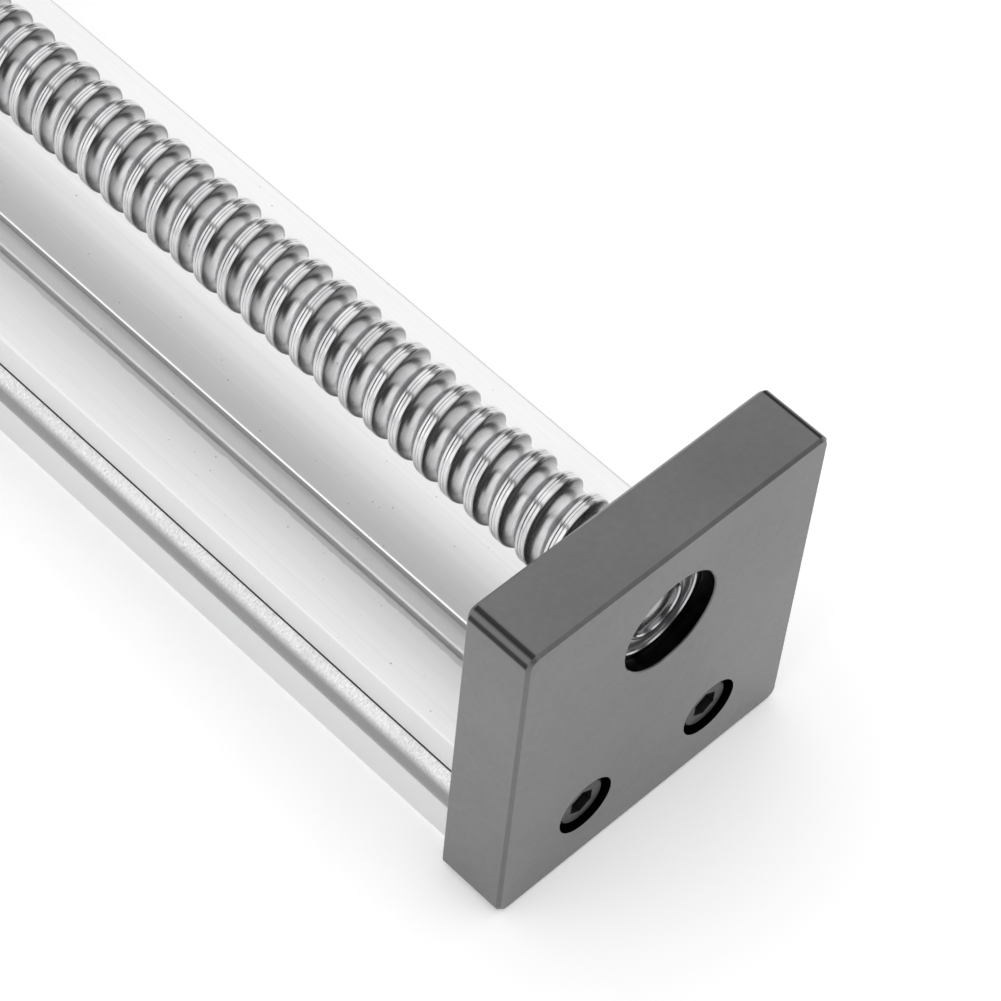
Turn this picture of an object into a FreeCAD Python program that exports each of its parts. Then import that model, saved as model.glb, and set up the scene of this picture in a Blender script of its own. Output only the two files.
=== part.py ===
import FreeCAD, Part
import math
import os
import Sketcher

# Ball screw linear module: an extruded aluminium rail with two guide rods in its sides, a ball screw
# above it between an idle end plate and a drive end block, a coupling housing with a size 23 motor face,
# and a carriage that runs on four grooved rollers.
# Millimetres. X runs along the rail towards the idle end, Z is up, the origin is the middle of the
# rail's underside.

doc = FreeCAD.newDocument("BallScrewModule")
sheet = doc.addObject("Spreadsheet::Sheet", "Sizes")
doc.recompute()

ALONG_X = FreeCAD.Rotation(FreeCAD.Vector(0, 1, 0), 90)
AGAINST_X = FreeCAD.Rotation(FreeCAD.Vector(0, 1, 0), -90)
UPRIGHT = FreeCAD.Rotation()
UPSIDE_DOWN = FreeCAD.Rotation(FreeCAD.Vector(1, 0, 0), 180)


# The sheet and the sizes read from it

class Formula:
    """A number, together with the spreadsheet expression that gives it."""

    def __init__(self, value, text):
        self.value = value
        self.text = text

    def __add__(self, other):
        return joined(self, "+", other, lambda a, b: a + b)

    def __radd__(self, other):
        return joined(other, "+", self, lambda a, b: a + b)

    def __sub__(self, other):
        return joined(self, "-", other, lambda a, b: a - b)

    def __rsub__(self, other):
        return joined(other, "-", self, lambda a, b: a - b)

    def __mul__(self, other):
        return joined(self, "*", other, lambda a, b: a * b)

    def __rmul__(self, other):
        return joined(other, "*", self, lambda a, b: a * b)

    def __truediv__(self, other):
        return joined(self, "/", other, lambda a, b: a / b)

    def __neg__(self):
        return Formula(-self.value, "(-1 * " + self.text + ")")


def formula(number):
    return number if isinstance(number, Formula) else Formula(float(number), repr(float(number)))


def root(number):
    number = formula(number)
    return Formula(math.sqrt(number.value), "sqrt(%s)" % number.text)


def joined(left, sign, right, work):
    left = formula(left)
    right = formula(right)
    return Formula(work(left.value, right.value), "(%s %s %s)" % (left.text, sign, right.text))


def size(name, value, meaning):
    """Writes one driving size to the next row of the sheet and returns it as a formula."""
    size.row += 1
    sheet.set("A%d" % size.row, name)
    sheet.set("B%d" % size.row, str(value))
    sheet.set("C%d" % size.row, meaning)
    sheet.setAlias("B%d" % size.row, name)
    return Formula(float(value), "Sizes." + name)


size.row = 0

# Rail and guide rods
rail_width = size("rail_width", 50, "over the rail's side faces")
rail_height = size("rail_height", 23.6, "underside to deck")
rail_top_round = size("rail_top_round", 0.5, "radius along the upper outer corners")
rail_foot_round = size("rail_foot_round", 1.2, "radius along the lower outer corners")
deck_width = size("deck_width", 19.5, "flat deck below the screw")
deck_bevel = size("deck_bevel", 0.4, "bevel along the deck's edges")
rebate_width = size("rebate_width", 5.3, "shallow groove each side of the deck")
rebate_depth = size("rebate_depth", 1.2, "deck to the rebate's floor")
slit_width = size("slit_width", 0.8, "narrow slit in the rebate's floor")
slit_depth = size("slit_depth", 2, "rebate's floor to the slit's bottom")
slit_inset = size("slit_inset", 1.8, "rebate's outer wall to the slit")
slit_flare = size("slit_flare", 0.12, "bevel along the slit's edges")
hollow_width = size("hollow_width", 13, "closed hollow along the middle of the rail")
hollow_height = size("hollow_height", 14, "height of that hollow")
hollow_floor = size("hollow_floor", 4, "rail's underside to the hollow")
slot_spacing = size("slot_spacing", 27, "between the two mounting slots' middles")
slot_mouth = size("slot_mouth", 6.2, "width of a mounting slot's mouth")
slot_lip = size("slot_lip", 1.8, "thickness of the lips beside the mouth")
slot_width = size("slot_width", 10.4, "width of a mounting slot inside")
slot_height = size("slot_height", 4.6, "height of a mounting slot inside")
rod_diameter = size("rod_diameter", 8, "hardened guide rod")
rod_inset = size("rod_inset", 1.75, "rod's axis inside the rail's side face")
rod_height = size("rod_height", 13.7, "rod's axis above the rail's underside")
rod_seat_gap = size("rod_seat_gap", 0.03, "radial gap between rod and its seat")
seat_flare = size("seat_flare", 0.3, "widening of a rod's seat at the rail's side face, each way")

# End pieces
plate_width = size("plate_width", 56.4, "width of the end pieces, as the motor's frame")
plate_height = size("plate_height", 60.8, "height of the end pieces")
plate_thickness = size("plate_thickness", 11.6, "idle end plate")
plate_round = size("plate_round", 2, "radius of the end pieces' long edges")
plate_bevel = size("plate_bevel", 0.5, "bevel round the end pieces' faces")
axis_height = size("axis_height", 44, "screw's axis above the rail's underside")
foot_screw_spacing = size("foot_screw_spacing", 24.6, "between the screws into the rail's ends")
foot_screw_height = size("foot_screw_height", 11.95, "those screws above the underside")
head_recess = size("head_recess", 0.8, "screw heads below the face they are sunk in")
block_thickness = size("block_thickness", 22, "drive end block")
block_wall = size("block_wall", 5.6, "block's inner wall, behind the bearings")

# Ball screw and its bearings
screw_diameter = size("screw_diameter", 13.8, "over the ball screw's crests")
screw_end_gap = size("screw_end_gap", 1.5, "thread's end to the end pieces")
screw_lead = size("screw_lead", 5, "ball screw's travel in one turn")
ball_groove = size("ball_groove", 3.32, "diameter of the ball groove's round bottom")
ball_groove_depth = size("ball_groove_depth", 1.12, "screw's crests to the bottom of the ball groove")
groove_lead_in = size("groove_lead_in", 1.85, "ball groove's run beyond each end of the thread")
centre_hole = size("centre_hole", 3, "centre hole in the screw's idle end")
idle_bore = size("idle_bore", 9, "idle bearing, bore")
idle_outer = size("idle_outer", 17, "idle bearing, outside")
idle_width = size("idle_width", 5, "idle bearing, width")
idle_recess = size("idle_recess", 2.8, "idle bearing below the plate's outer face")
journal_recess = size("journal_recess", 3.7, "screw's idle end below the plate's outer face")
drive_bore = size("drive_bore", 10, "drive bearings, bore")
drive_outer = size("drive_outer", 26, "drive bearings, outside")
drive_width = size("drive_width", 8, "each drive bearing, width")
race_share = size("race_share", 0.22, "thickness of a bearing ring, as a share of its section")
shield_gap = size("shield_gap", 0.12, "radial gap between a bearing's shield and its inner ring")
fit_gap = size("fit_gap", 0.02, "radial gap of a seat or running fit")
cover_outer = size("cover_outer", 35, "bearing cover, outside")
cover_inner = size("cover_inner", 19.2, "bearing cover, opening")
cover_thickness = size("cover_thickness", 3, "bearing cover")
cover_screw_circle = size("cover_screw_circle", 29.6, "circle of the cover's screws")
lock_nut_outer = size("lock_nut_outer", 18, "lock nut, outside")
lock_nut_length = size("lock_nut_length", 8, "lock nut")
lock_nut_slot = size("lock_nut_slot", 3, "width of the lock nut's spanner slots")
tail_diameter = size("tail_diameter", 8, "screw's end in the coupling")
bearing_lip = size("bearing_lip", 1.5, "lip that a bearing's outer ring rests on")
shoulder_rise = size("shoulder_rise", 0.75, "screw's shoulders above its journals")

# Coupling and its housing
coupling_gap = size("coupling_gap", 2.4, "lock nut to the coupling")
coupling_diameter = size("coupling_diameter", 25, "coupling hubs and spider")
hub_length = size("hub_length", 12, "solid length of a coupling hub")
jaw_length = size("jaw_length", 8, "length of the jaws, and of the spider")
jaw_gap = size("jaw_gap", 0.15, "gap beside and in front of the jaws")
leg_width = size("leg_width", 4.3, "spider's legs")
spider_ring = size("spider_ring", 11, "spider's ring, outside")
spider_hole = size("spider_hole", 6, "hole through the spider")
motor_shaft = size("motor_shaft", 6.35, "bore for the motor's shaft")
clamp_slit = size("clamp_slit", 1, "slit that lets a hub clamp")
clamp_reach = size("clamp_reach", 8.4, "clamp screw's axis beside the hub's axis")
clamp_place = size("clamp_place", 5, "hub's back face to its clamp screw")
clamp_seat = size("clamp_seat", 2.5, "hub's axis plane to the clamp screw's head")
clamp_length = size("clamp_length", 9.6, "clamp screw below its head")
slit_length = size("slit_length", 9.6, "length of the clamping slit")
housing_length = size("housing_length", 53, "coupling housing")
chamber_diameter = size("chamber_diameter", 36, "housing's chamber round the coupling")
pilot_diameter = size("pilot_diameter", 38.1, "recess for the motor's boss")
pilot_depth = size("pilot_depth", 3, "depth of that recess")
motor_screw_spacing = size("motor_screw_spacing", 47.14, "motor's screw pattern, each way")
motor_screw_depth = size("motor_screw_depth", 14, "depth of the motor's screw holes")
window_length = size("window_length", 26, "housing's side windows, along the screw")
window_height = size("window_height", 18, "housing's side windows, height")
housing_screw_spread = size("housing_screw_spread", 45, "between the housing's screws, across")
housing_screw_low = size("housing_screw_low", 29, "lower housing screws above the underside")
housing_screw_high = size("housing_screw_high", 55, "upper housing screws above the underside")

# Carriage
travel = size("travel", 200, "carriage travel")
home_gap = size("home_gap", 5, "drive end block to the carriage at home")
far_gap = size("far_gap", 10, "nut's flange to the idle end plate at the end of the travel")
carriage_length = size("carriage_length", 76, "along the rail")
carriage_width = size("carriage_width", 98, "over the carriage's foot and table")
carriage_lift = size("carriage_lift", 1.6, "deck to the carriage's underside")
foot_height = size("foot_height", 9, "thickness of the carriage's foot")
body_width = size("body_width", 48, "carriage's body above the foot")
body_rise = size("body_rise", 20, "screw's axis to the table's underside")
table_thickness = size("table_thickness", 10, "table plate")
table_round = size("table_round", 4, "radius of the table's corners")
payload_length = size("payload_length", 60, "payload holes, along the rail")
payload_width = size("payload_width", 80, "payload holes, across the rail")
table_screw_length = size("table_screw_length", 40, "table's own screws, along the rail")
table_screw_width = size("table_screw_width", 36, "table's own screws, across the rail")
tap_core = size("tap_core", 4.2, "core hole of an M5 thread")
inner_round = size("inner_round", 4, "radius where the carriage's body meets its foot")

# Ball nut
nut_diameter = size("nut_diameter", 26, "ball nut's body")
nut_length = size("nut_length", 34, "ball nut's body, behind its flange")
flange_diameter = size("flange_diameter", 44, "ball nut's flange")
flange_flats = size("flange_flats", 36, "across the flange's two flats")
flange_thickness = size("flange_thickness", 9, "ball nut's flange")
nut_screw_circle = size("nut_screw_circle", 35, "circle of the flange's holes")
nut_clearance = size("nut_clearance", 0.3, "radial gap between the screw's crests and the nut")
wiper_gap = size("wiper_gap", 0.06, "radial gap between the screw's crests and a wiper")
wiper_thickness = size("wiper_thickness", 2.4, "nut's wipers")
wiper_diameter = size("wiper_diameter", 20, "nut's wipers, outside")
nipple_thread = size("nipple_thread", 5, "grease nipple's thread")
nipple_hex = size("nipple_hex", 7, "grease nipple's hexagon, across flats")
nipple_collar = size("nipple_collar", 2.8, "height of that hexagon")
nipple_neck = size("nipple_neck", 3, "grease nipple's neck")
nipple_length = size("nipple_length", 7, "grease nipple above the flange")

# Rollers
roller_diameter = size("roller_diameter", 22, "over a roller's rims")
roller_width = size("roller_width", 9, "a roller's width")
groove_depth = size("groove_depth", 2, "rim to the bottom of a roller's groove")
rod_clearance = size("rod_clearance", 0.3, "between a roller's groove and the rod")
roller_race = size("roller_race", 14.6, "bore of a roller's outer ring")
roller_bore = size("roller_bore", 6, "bore of a roller's inner ring")
ring_diameter = size("ring_diameter", 9.4, "outside of a roller's inner ring")
ring_proud = size("ring_proud", 0.3, "inner ring beyond the roller's faces")
shield_thickness = size("shield_thickness", 0.5, "bearing shields")
roller_spacing = size("roller_spacing", 52, "between the rollers' axles along the rail")
axle_head = size("axle_head", 10, "axle bolt's head, outside")
axle_head_height = size("axle_head_height", 3.6, "axle bolt's head")
axle_nut_width = size("axle_nut_width", 10, "axle nuts, across flats")
axle_nut_height = size("axle_nut_height", 5, "axle nuts")
axle_spare = size("axle_spare", 1, "axle bolt beyond its nut")
spacer_diameter = size("spacer_diameter", 10, "spacers above the rollers")
bush_diameter = size("bush_diameter", 9, "eccentric bushes in the foot")
bush_hex = size("bush_hex", 13, "eccentric bushes' hexagon, across flats")
bush_throw = size("bush_throw", 0.75, "bush's axis beside its axle's axis")

# Socket head cap screws, thread diameter, head diameter and hexagon for each kind
big_thread = size("big_thread", 5, "M5 thread")
big_head = size("big_head", 8.5, "M5 head")
big_hex = size("big_hex", 4, "M5 hexagon")
big_sink = size("big_sink", 10, "M5 counterbore")
mid_thread = size("mid_thread", 4, "M4 thread")
mid_head = size("mid_head", 7, "M4 head")
mid_hex = size("mid_hex", 3, "M4 hexagon")
mid_sink = size("mid_sink", 8, "M4 counterbore")
small_thread = size("small_thread", 3, "M3 thread")
small_head = size("small_head", 5.5, "M3 head")
small_hex = size("small_hex", 2.5, "M3 hexagon")
small_sink = size("small_sink", 6, "M3 counterbore")
hole_gap = size("hole_gap", 0.3, "radial gap round a screw in a clearance hole")
thread_gap = size("thread_gap", 0.03, "radial gap round a screw in its thread")
edge_break = size("edge_break", 0.4, "small bevels on turned and drilled edges")
big_grip = size("big_grip", 17, "length of an M5 screw in the rail's thread")
table_grip = size("table_grip", 10, "length of a table screw in the carriage's thread")
mid_grip = size("mid_grip", 12, "length of an M4 screw in its thread")
small_grip = size("small_grip", 7.2, "length of an M3 cover screw in its thread")
tap_spare = size("tap_spare", 2, "threaded hole beyond its screw's end")

# Places that follow from the sizes
rail_length = home_gap + carriage_length + flange_thickness + travel + far_gap
rail_end = rail_length / 2
plate_face = rail_end + plate_thickness
idle_face = plate_face - idle_recess
block_face = rail_end + block_thickness
shoulder = rail_end + block_wall
bearing_end = shoulder + 2 * drive_width
lock_nut_end = bearing_end + lock_nut_length
hub_start = lock_nut_end + coupling_gap
spider_start = hub_start + hub_length
motor_hub_start = spider_start + jaw_length
housing_end = block_face + housing_length
rod_side = rail_width / 2 - rod_inset
groove_centre = roller_diameter / 2 - groove_depth + rod_diameter / 2 + rod_clearance
axle_side = rod_side + groove_centre
foot_bottom = rail_height + carriage_lift
foot_top = foot_bottom + foot_height
table_bottom = axis_height + body_rise
table_top = table_bottom + table_thickness
carriage_back = -rail_end + home_gap
carriage_middle = carriage_back + carriage_length / 2
carriage_front = carriage_back + carriage_length


# Building blocks

def place(thing, x=0, y=0, z=0, turn=UPRIGHT):
    """Puts a piece at a point that follows the sheet, turned as asked."""
    x, y, z = formula(x), formula(y), formula(z)
    thing.Placement = FreeCAD.Placement(FreeCAD.Vector(x.value, y.value, z.value), turn)
    thing.setExpression("Placement.Base.x", x.text)
    thing.setExpression("Placement.Base.y", y.text)
    thing.setExpression("Placement.Base.z", z.text)
    return thing


def bind(thing, **sizes):
    for name, value in sizes.items():
        value = formula(value)
        setattr(thing, name, value.value)
        thing.setExpression(name, value.text)
    return thing


def cylinder(diameter, length, x=0, y=0, z=0, turn=UPRIGHT):
    thing = doc.addObject("Part::Cylinder", "Cylinder")
    bind(thing, Radius=formula(diameter) / 2, Height=length)
    return place(thing, x, y, z, turn)


def hexagon(across_flats, length, x=0, y=0, z=0, turn=UPRIGHT):
    thing = doc.addObject("Part::Prism", "Hexagon")
    thing.Polygon = 6
    bind(thing, Circumradius=formula(across_flats) / math.sqrt(3), Height=length)
    return place(thing, x, y, z, turn)


def cone(bottom, top, height, x=0, y=0, z=0, turn=UPRIGHT):
    thing = doc.addObject("Part::Cone", "Cone")
    bind(thing, Radius1=formula(bottom) / 2, Radius2=formula(top) / 2, Height=height)
    return place(thing, x, y, z, turn)


def cut(base, tools):
    thing = doc.addObject("Part::Cut", "Cut")
    thing.Base = base
    thing.Tool = fuse(tools)
    return thing


def fuse(things):
    if len(things) == 1:
        return things[0]
    thing = doc.addObject("Part::MultiFuse", "Fuse")
    thing.Shapes = things
    return thing


def group(label, things):
    """Several separate solids of one kind, kept as one sub-part."""
    thing = doc.addObject("Part::Compound", label)
    thing.Links = things
    return keep(label, thing)


kept = []


def keep(label, thing):
    """Names a finished sub-part, which is written out at the end."""
    thing.Label = label
    kept.append(thing)
    return thing


def new_body(label):
    return doc.addObject("PartDesign::Body", label)


def new_sketch(body, plane, offset=0):
    """A sketch on one of the body's own planes, moved along the plane's normal."""
    sketch = body.newObject("Sketcher::SketchObject", body.Name + "_sketch")
    support = next(part for part in body.Origin.OriginFeatures if part.Role == plane)
    sketch.AttachmentSupport = [(support, "")]
    sketch.MapMode = "FlatFace"
    sketch.setExpression("AttachmentOffset.Base.z", formula(offset).text)
    return sketch


def pin(sketch, kind, element, point, distance):
    """Holds a point of the sketch at a distance from the origin that follows the sheet."""
    distance = formula(distance)
    constraint = Sketcher.Constraint(kind, -1, 1, element, point, distance.value)
    index = sketch.addConstraint(constraint)
    sketch.setExpression("Constraints[%d]" % index, distance.text)


def outline(sketch, corners):
    """A closed outline of straight lines through corners given as (across, up)."""
    corners = [(formula(across), formula(up)) for across, up in corners]
    points = [FreeCAD.Vector(across.value, up.value, 0) for across, up in corners]
    first = sketch.GeometryCount
    for start, end in zip(points, points[1:] + points[:1]):
        sketch.addGeometry(Part.LineSegment(start, end), False)
    for number, (across, up) in enumerate(corners):
        line = first + number
        before = first + (number - 1) % len(corners)
        sketch.addConstraint(Sketcher.Constraint("Coincident", before, 2, line, 1))
        pin(sketch, "DistanceX", line, 1, across)
        pin(sketch, "DistanceY", line, 1, up)


def rectangle(sketch, left, right, bottom, top):
    outline(sketch, [(left, bottom), (right, bottom), (right, top), (left, top)])


def circle(sketch, across, up, diameter):
    across, up, radius = formula(across), formula(up), formula(diameter) / 2
    middle = FreeCAD.Vector(across.value, up.value, 0)
    element = sketch.addGeometry(Part.Circle(middle, FreeCAD.Vector(0, 0, 1), radius.value), False)
    pin(sketch, "DistanceX", element, 3, across)
    pin(sketch, "DistanceY", element, 3, up)
    index = sketch.addConstraint(Sketcher.Constraint("Radius", element, radius.value))
    sketch.setExpression("Constraints[%d]" % index, radius.text)


def pad(body, sketch, length):
    feature = body.newObject("PartDesign::Pad", body.Name + "_pad")
    feature.Profile = sketch
    bind(feature, Length=length)
    doc.recompute()
    return feature


def pocket(body, sketch, depth=None, reverse=False):
    """Cuts a sketch out of the body: right through, or to a depth below the sketch's plane."""
    before = body.Shape.Volume
    feature = body.newObject("PartDesign::Pocket", body.Name + "_pocket")
    feature.Profile = sketch
    if depth is None:
        feature.Type = "ThroughAll"
        feature.SideType = "Symmetric"
    else:
        feature.Type = "Length"
        feature.Reversed = reverse
        bind(feature, Length=depth)
    doc.recompute()
    must_shrink(body, feature, before)
    return feature


def must_shrink(body, feature, before):
    if body.Shape.Volume >= before - 1e-6:
        raise ValueError(feature.Label + " cuts nothing")


def turned(label, corners, plane="XY_Plane", axis="H_Axis"):
    """A turned piece: an outline of (along, radius) revolved about its own axis."""
    body = new_body(label)
    sketch = new_sketch(body, plane)
    outline(sketch, corners)
    feature = body.newObject("PartDesign::Revolution", label + "_turn")
    feature.Profile = sketch
    feature.ReferenceAxis = (sketch, [axis])
    feature.Angle = 360
    doc.recompute()
    return body


def turned_groove(body, across, up, diameter, plane="XY_Plane", axis="H_Axis"):
    """A round-bottomed groove turned into a body about the sketch's axis."""
    before = body.Shape.Volume
    sketch = new_sketch(body, plane)
    circle(sketch, across, up, diameter)
    feature = body.newObject("PartDesign::Groove", body.Name + "_groove")
    feature.Profile = sketch
    feature.ReferenceAxis = (sketch, [axis])
    feature.Angle = 360
    doc.recompute()
    must_shrink(body, feature, before)
    return feature


def helical_groove(body, start, radius, diameter, lead, length):
    """A right-hand groove with a round bottom, cut along a helix about the body's own X axis."""
    before = body.Shape.Volume
    sketch = new_sketch(body, "XY_Plane")
    circle(sketch, start, radius, diameter)
    feature = body.newObject("PartDesign::SubtractiveHelix", body.Name + "_helix")
    feature.Profile = sketch
    feature.ReferenceAxis = (sketch, ["H_Axis"])
    feature.Mode = "pitch-height-angle"
    bind(feature, Pitch=lead, Height=length)
    doc.recompute()
    must_shrink(body, feature, before)
    return feature


def edges_where(shape, test):
    """Names of the straight edges that pass a test on their middle point and direction."""
    names = []
    for number, edge in enumerate(shape.Edges, 1):
        if edge.Curve.TypeId != "Part::GeomLine":
            continue
        start, end = edge.Vertexes[0].Point, edge.Vertexes[-1].Point
        if test((start + end) / 2, (end - start).normalize()):
            names.append("Edge%d" % number)
    return names


def rounded(body, radius, test):
    base = body.Tip
    feature = body.newObject("PartDesign::Fillet", body.Name + "_round")
    feature.Base = (base, edges_where(base.Shape, test))
    bind(feature, Radius=radius)
    doc.recompute()
    return feature


def bevelled(body, width, test):
    """Bevels the whole rims of the faces that pass a test."""
    base = body.Tip
    names = ["Face%d" % number for number, face in enumerate(base.Shape.Faces, 1) if test(face)]
    feature = body.newObject("PartDesign::Chamfer", body.Name + "_bevel")
    feature.Base = (base, names)
    bind(feature, Size=width)
    doc.recompute()
    return feature


def repeated(body, feature, count):
    """Repeats a feature round the body's own X axis."""
    pattern = body.newObject("PartDesign::PolarPattern", body.Name + "_pattern")
    pattern.Originals = [feature]
    axis = next(part for part in body.Origin.OriginFeatures if part.Role == "X_Axis")
    pattern.Axis = (axis, [""])
    pattern.Angle = 360
    pattern.Occurrences = count
    body.Tip = pattern
    doc.recompute()
    return pattern


def cap_screw(kind, length, x, y, z, turn):
    """A socket head cap screw whose head's underside is at the point and whose shank runs along turn."""
    thread, head, key = kind
    shank = cylinder(thread, length)
    cap = cylinder(head, thread - edge_break, z=edge_break - thread)
    crown = cone(head - 2 * edge_break, head, edge_break, z=-thread)
    socket = hexagon(key, thread / 2, z=-thread)
    return place(cut(fuse([shank, cap, crown]), [socket]), x, y, z, turn)


BIG = (big_thread, big_head, big_hex)
MID = (mid_thread, mid_head, mid_hex)
SMALL = (small_thread, small_head, small_hex)


# The rail: an extrusion, with grooves that hold the rods and slots underneath for mounting

def base_rail():
    body = new_body("base_rail")
    section = new_sketch(body, "YZ_Plane")
    half = rail_width / 2
    deck = deck_width / 2
    wall = deck + rebate_width
    floor = rail_height - rebate_depth
    right = [
        (half, 0), (half, rail_height), (wall, rail_height),
        (wall, floor), (deck, floor), (deck, rail_height - deck_bevel), (deck - deck_bevel, rail_height),
    ]
    outline(section, right + [(-across, up) for across, up in reversed(right)])
    pad(body, section, rail_length)

    cuts = new_sketch(body, "YZ_Plane")
    seat_diameter = rod_diameter + 2 * rod_seat_gap
    slot_top = slot_lip + slot_height
    for side in (-1, 1):
        circle(cuts, side * rod_side, rod_height, seat_diameter)
        circle(cuts, side * foot_screw_spacing / 2, foot_screw_height, big_thread + 2 * thread_gap)
        middle = side * slot_spacing / 2
        mouth, inside = slot_mouth / 2, slot_width / 2
        outline(cuts, [
            (middle - mouth, -slot_lip), (middle + mouth, -slot_lip), (middle + mouth, slot_lip),
            (middle + inside, slot_lip), (middle + inside, slot_top), (middle - inside, slot_top),
            (middle - inside, slot_lip), (middle - mouth, slot_lip),
        ])
        slit = side * (wall - slit_inset)
        beside, flared = slit_width / 2, slit_width / 2 + 2 * slit_flare
        outline(cuts, [
            (slit - beside, floor - slit_depth), (slit + beside, floor - slit_depth),
            (slit + beside, floor - slit_flare), (slit + flared, floor + slit_flare),
            (slit - flared, floor + slit_flare), (slit - beside, floor - slit_flare),
        ])
    pocket(body, cuts)
    # The seats' mouths are eased, which leaves a fine gap beside each rod at the side faces
    mouths = new_sketch(body, "YZ_Plane")
    chord = root(seat_diameter * seat_diameter - 4 * rod_inset * rod_inset)
    for side in (-1, 1):
        circle(mouths, side * half, rod_height, chord + 2 * seat_flare)
    pocket(body, mouths)
    hollow = new_sketch(body, "YZ_Plane")
    rectangle(hollow, -hollow_width / 2, hollow_width / 2, hollow_floor, hollow_floor + hollow_height)
    pocket(body, hollow)

    def upper(point, run):
        return abs(run.x) > 0.9 and abs(point.z - rail_height.value) < 0.01 and abs(abs(point.y) - half.value) < 0.01

    def lower(point, run):
        return abs(run.x) > 0.9 and abs(point.z) < 0.01 and abs(abs(point.y) - half.value) < 0.01

    rounded(body, rail_top_round, upper)
    rounded(body, rail_foot_round, lower)
    place(body, x=-rail_end)
    return keep("base_rail", body)


def guide_rod(label, side):
    """Ground steel rod pressed into the rail's side groove, with bevelled ends."""
    radius = rod_diameter / 2
    rod = turned(label, [
        (0, 0), (rail_length, 0), (rail_length, radius - edge_break),
        (rail_length - edge_break, radius), (edge_break, radius), (0, radius - edge_break),
    ])
    place(rod, x=-rail_end, y=side * rod_side, z=rod_height)
    return keep(label, rod)


# End pieces: two plates of one outline, screwed to the rail's ends

def end_piece(label, thickness):
    """The outline that both end pieces share, with rounded long edges and bevelled faces."""
    body = new_body(label)
    section = new_sketch(body, "YZ_Plane")
    rectangle(section, -plate_width / 2, plate_width / 2, 0, plate_height)
    pad(body, section, thickness)
    rounded(body, plate_round, lambda point, run: abs(run.x) > 0.9)
    bevelled(body, plate_bevel, lambda face: abs(face.normalAt(0, 0).x) > 0.9)
    return body


def bore(body, places, diameter, start=0, depth=None):
    """Round holes along X: right through, or to a depth from a plane at start."""
    sketch = new_sketch(body, "YZ_Plane", start)
    for across, up in places:
        circle(sketch, across, up, diameter)
    return pocket(body, sketch, depth)


FOOT_SCREWS = [(side * foot_screw_spacing / 2, foot_screw_height) for side in (-1, 1)]
FOOT_HEAD = big_thread + head_recess


def idle_end_plate():
    """Carries the idle bearing in a bore that opens outwards, and two sunk screws below it."""
    body = end_piece("idle_end_plate", plate_thickness)
    bore(body, [(0, axis_height)], idle_outer - 2 * bearing_lip)
    bore(body, [(0, axis_height)], idle_outer + 2 * fit_gap, plate_thickness, idle_recess + idle_width)
    bore(body, FOOT_SCREWS, big_thread + 2 * hole_gap)
    bore(body, FOOT_SCREWS, big_sink, plate_thickness, FOOT_HEAD)
    rim = new_sketch(body, "XY_Plane", axis_height)
    edge = edge_break / 2
    radius = idle_outer / 2 + fit_gap
    outline(rim, [
        (plate_thickness - edge, radius), (plate_thickness, radius + edge),
        (plate_thickness + edge, radius + edge), (plate_thickness + edge, radius - edge),
        (plate_thickness - edge, radius - edge),
    ])
    feature = body.newObject("PartDesign::Groove", "idle_end_plate_rim")
    feature.Profile = rim
    feature.ReferenceAxis = (rim, ["H_Axis"])
    feature.Angle = 360
    doc.recompute()
    place(body, x=rail_end)
    return keep("idle_end_plate", body)


HOUSING_SCREWS = [(side * housing_screw_spread / 2, up)
                  for side in (-1, 1) for up in (housing_screw_low, housing_screw_high)]
HOUSING_HEAD = mid_thread + head_recess
COVER_ANGLES = (45, 135, 225, 315)


def round_places(diameter, angles, up=0):
    """Points on a circle about the screw's axis, as (across, up)."""
    radius = formula(diameter) / 2
    return [(radius * math.cos(math.radians(angle)), up + radius * math.sin(math.radians(angle)))
            for angle in angles]


def drive_end_block():
    """Holds the pair of drive bearings in a pocket that opens towards the motor."""
    body = end_piece("drive_end_block", block_thickness)
    bore(body, [(0, axis_height)], drive_outer - 4 * bearing_lip)
    pocket_depth = block_thickness - block_wall
    pocket_sketch = new_sketch(body, "YZ_Plane")
    circle(pocket_sketch, 0, axis_height, drive_outer + 2 * fit_gap)
    pocket(body, pocket_sketch, pocket_depth, reverse=True)
    cover_holes = new_sketch(body, "YZ_Plane")
    for across, up in round_places(cover_screw_circle, COVER_ANGLES, axis_height):
        circle(cover_holes, across, up, small_thread + 2 * thread_gap)
    pocket(body, cover_holes, small_grip + tap_spare, reverse=True)
    bore(body, FOOT_SCREWS, big_thread + 2 * hole_gap)
    foot_sinks = new_sketch(body, "YZ_Plane")
    for across, up in FOOT_SCREWS:
        circle(foot_sinks, across, up, big_sink)
    pocket(body, foot_sinks, FOOT_HEAD, reverse=True)
    bore(body, HOUSING_SCREWS, mid_thread + 2 * hole_gap)
    bore(body, HOUSING_SCREWS, mid_sink, block_thickness, HOUSING_HEAD)
    place(body, x=-block_face)
    return keep("drive_end_block", body)


def end_screws():
    """The long screws that hold the end pieces to the rail, and the housing to the block."""
    group("idle_plate_screws", [
        cap_screw(BIG, plate_thickness - FOOT_HEAD + big_grip, plate_face - FOOT_HEAD, across, up, AGAINST_X)
        for across, up in FOOT_SCREWS])
    group("drive_block_screws", [
        cap_screw(BIG, block_thickness - FOOT_HEAD + big_grip, -block_face + FOOT_HEAD, across, up, ALONG_X)
        for across, up in FOOT_SCREWS])
    group("housing_screws", [
        cap_screw(MID, block_thickness - HOUSING_HEAD + mid_grip, -rail_end - HOUSING_HEAD,
                  across, up, AGAINST_X)
        for across, up in HOUSING_SCREWS])


# Bearings

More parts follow.
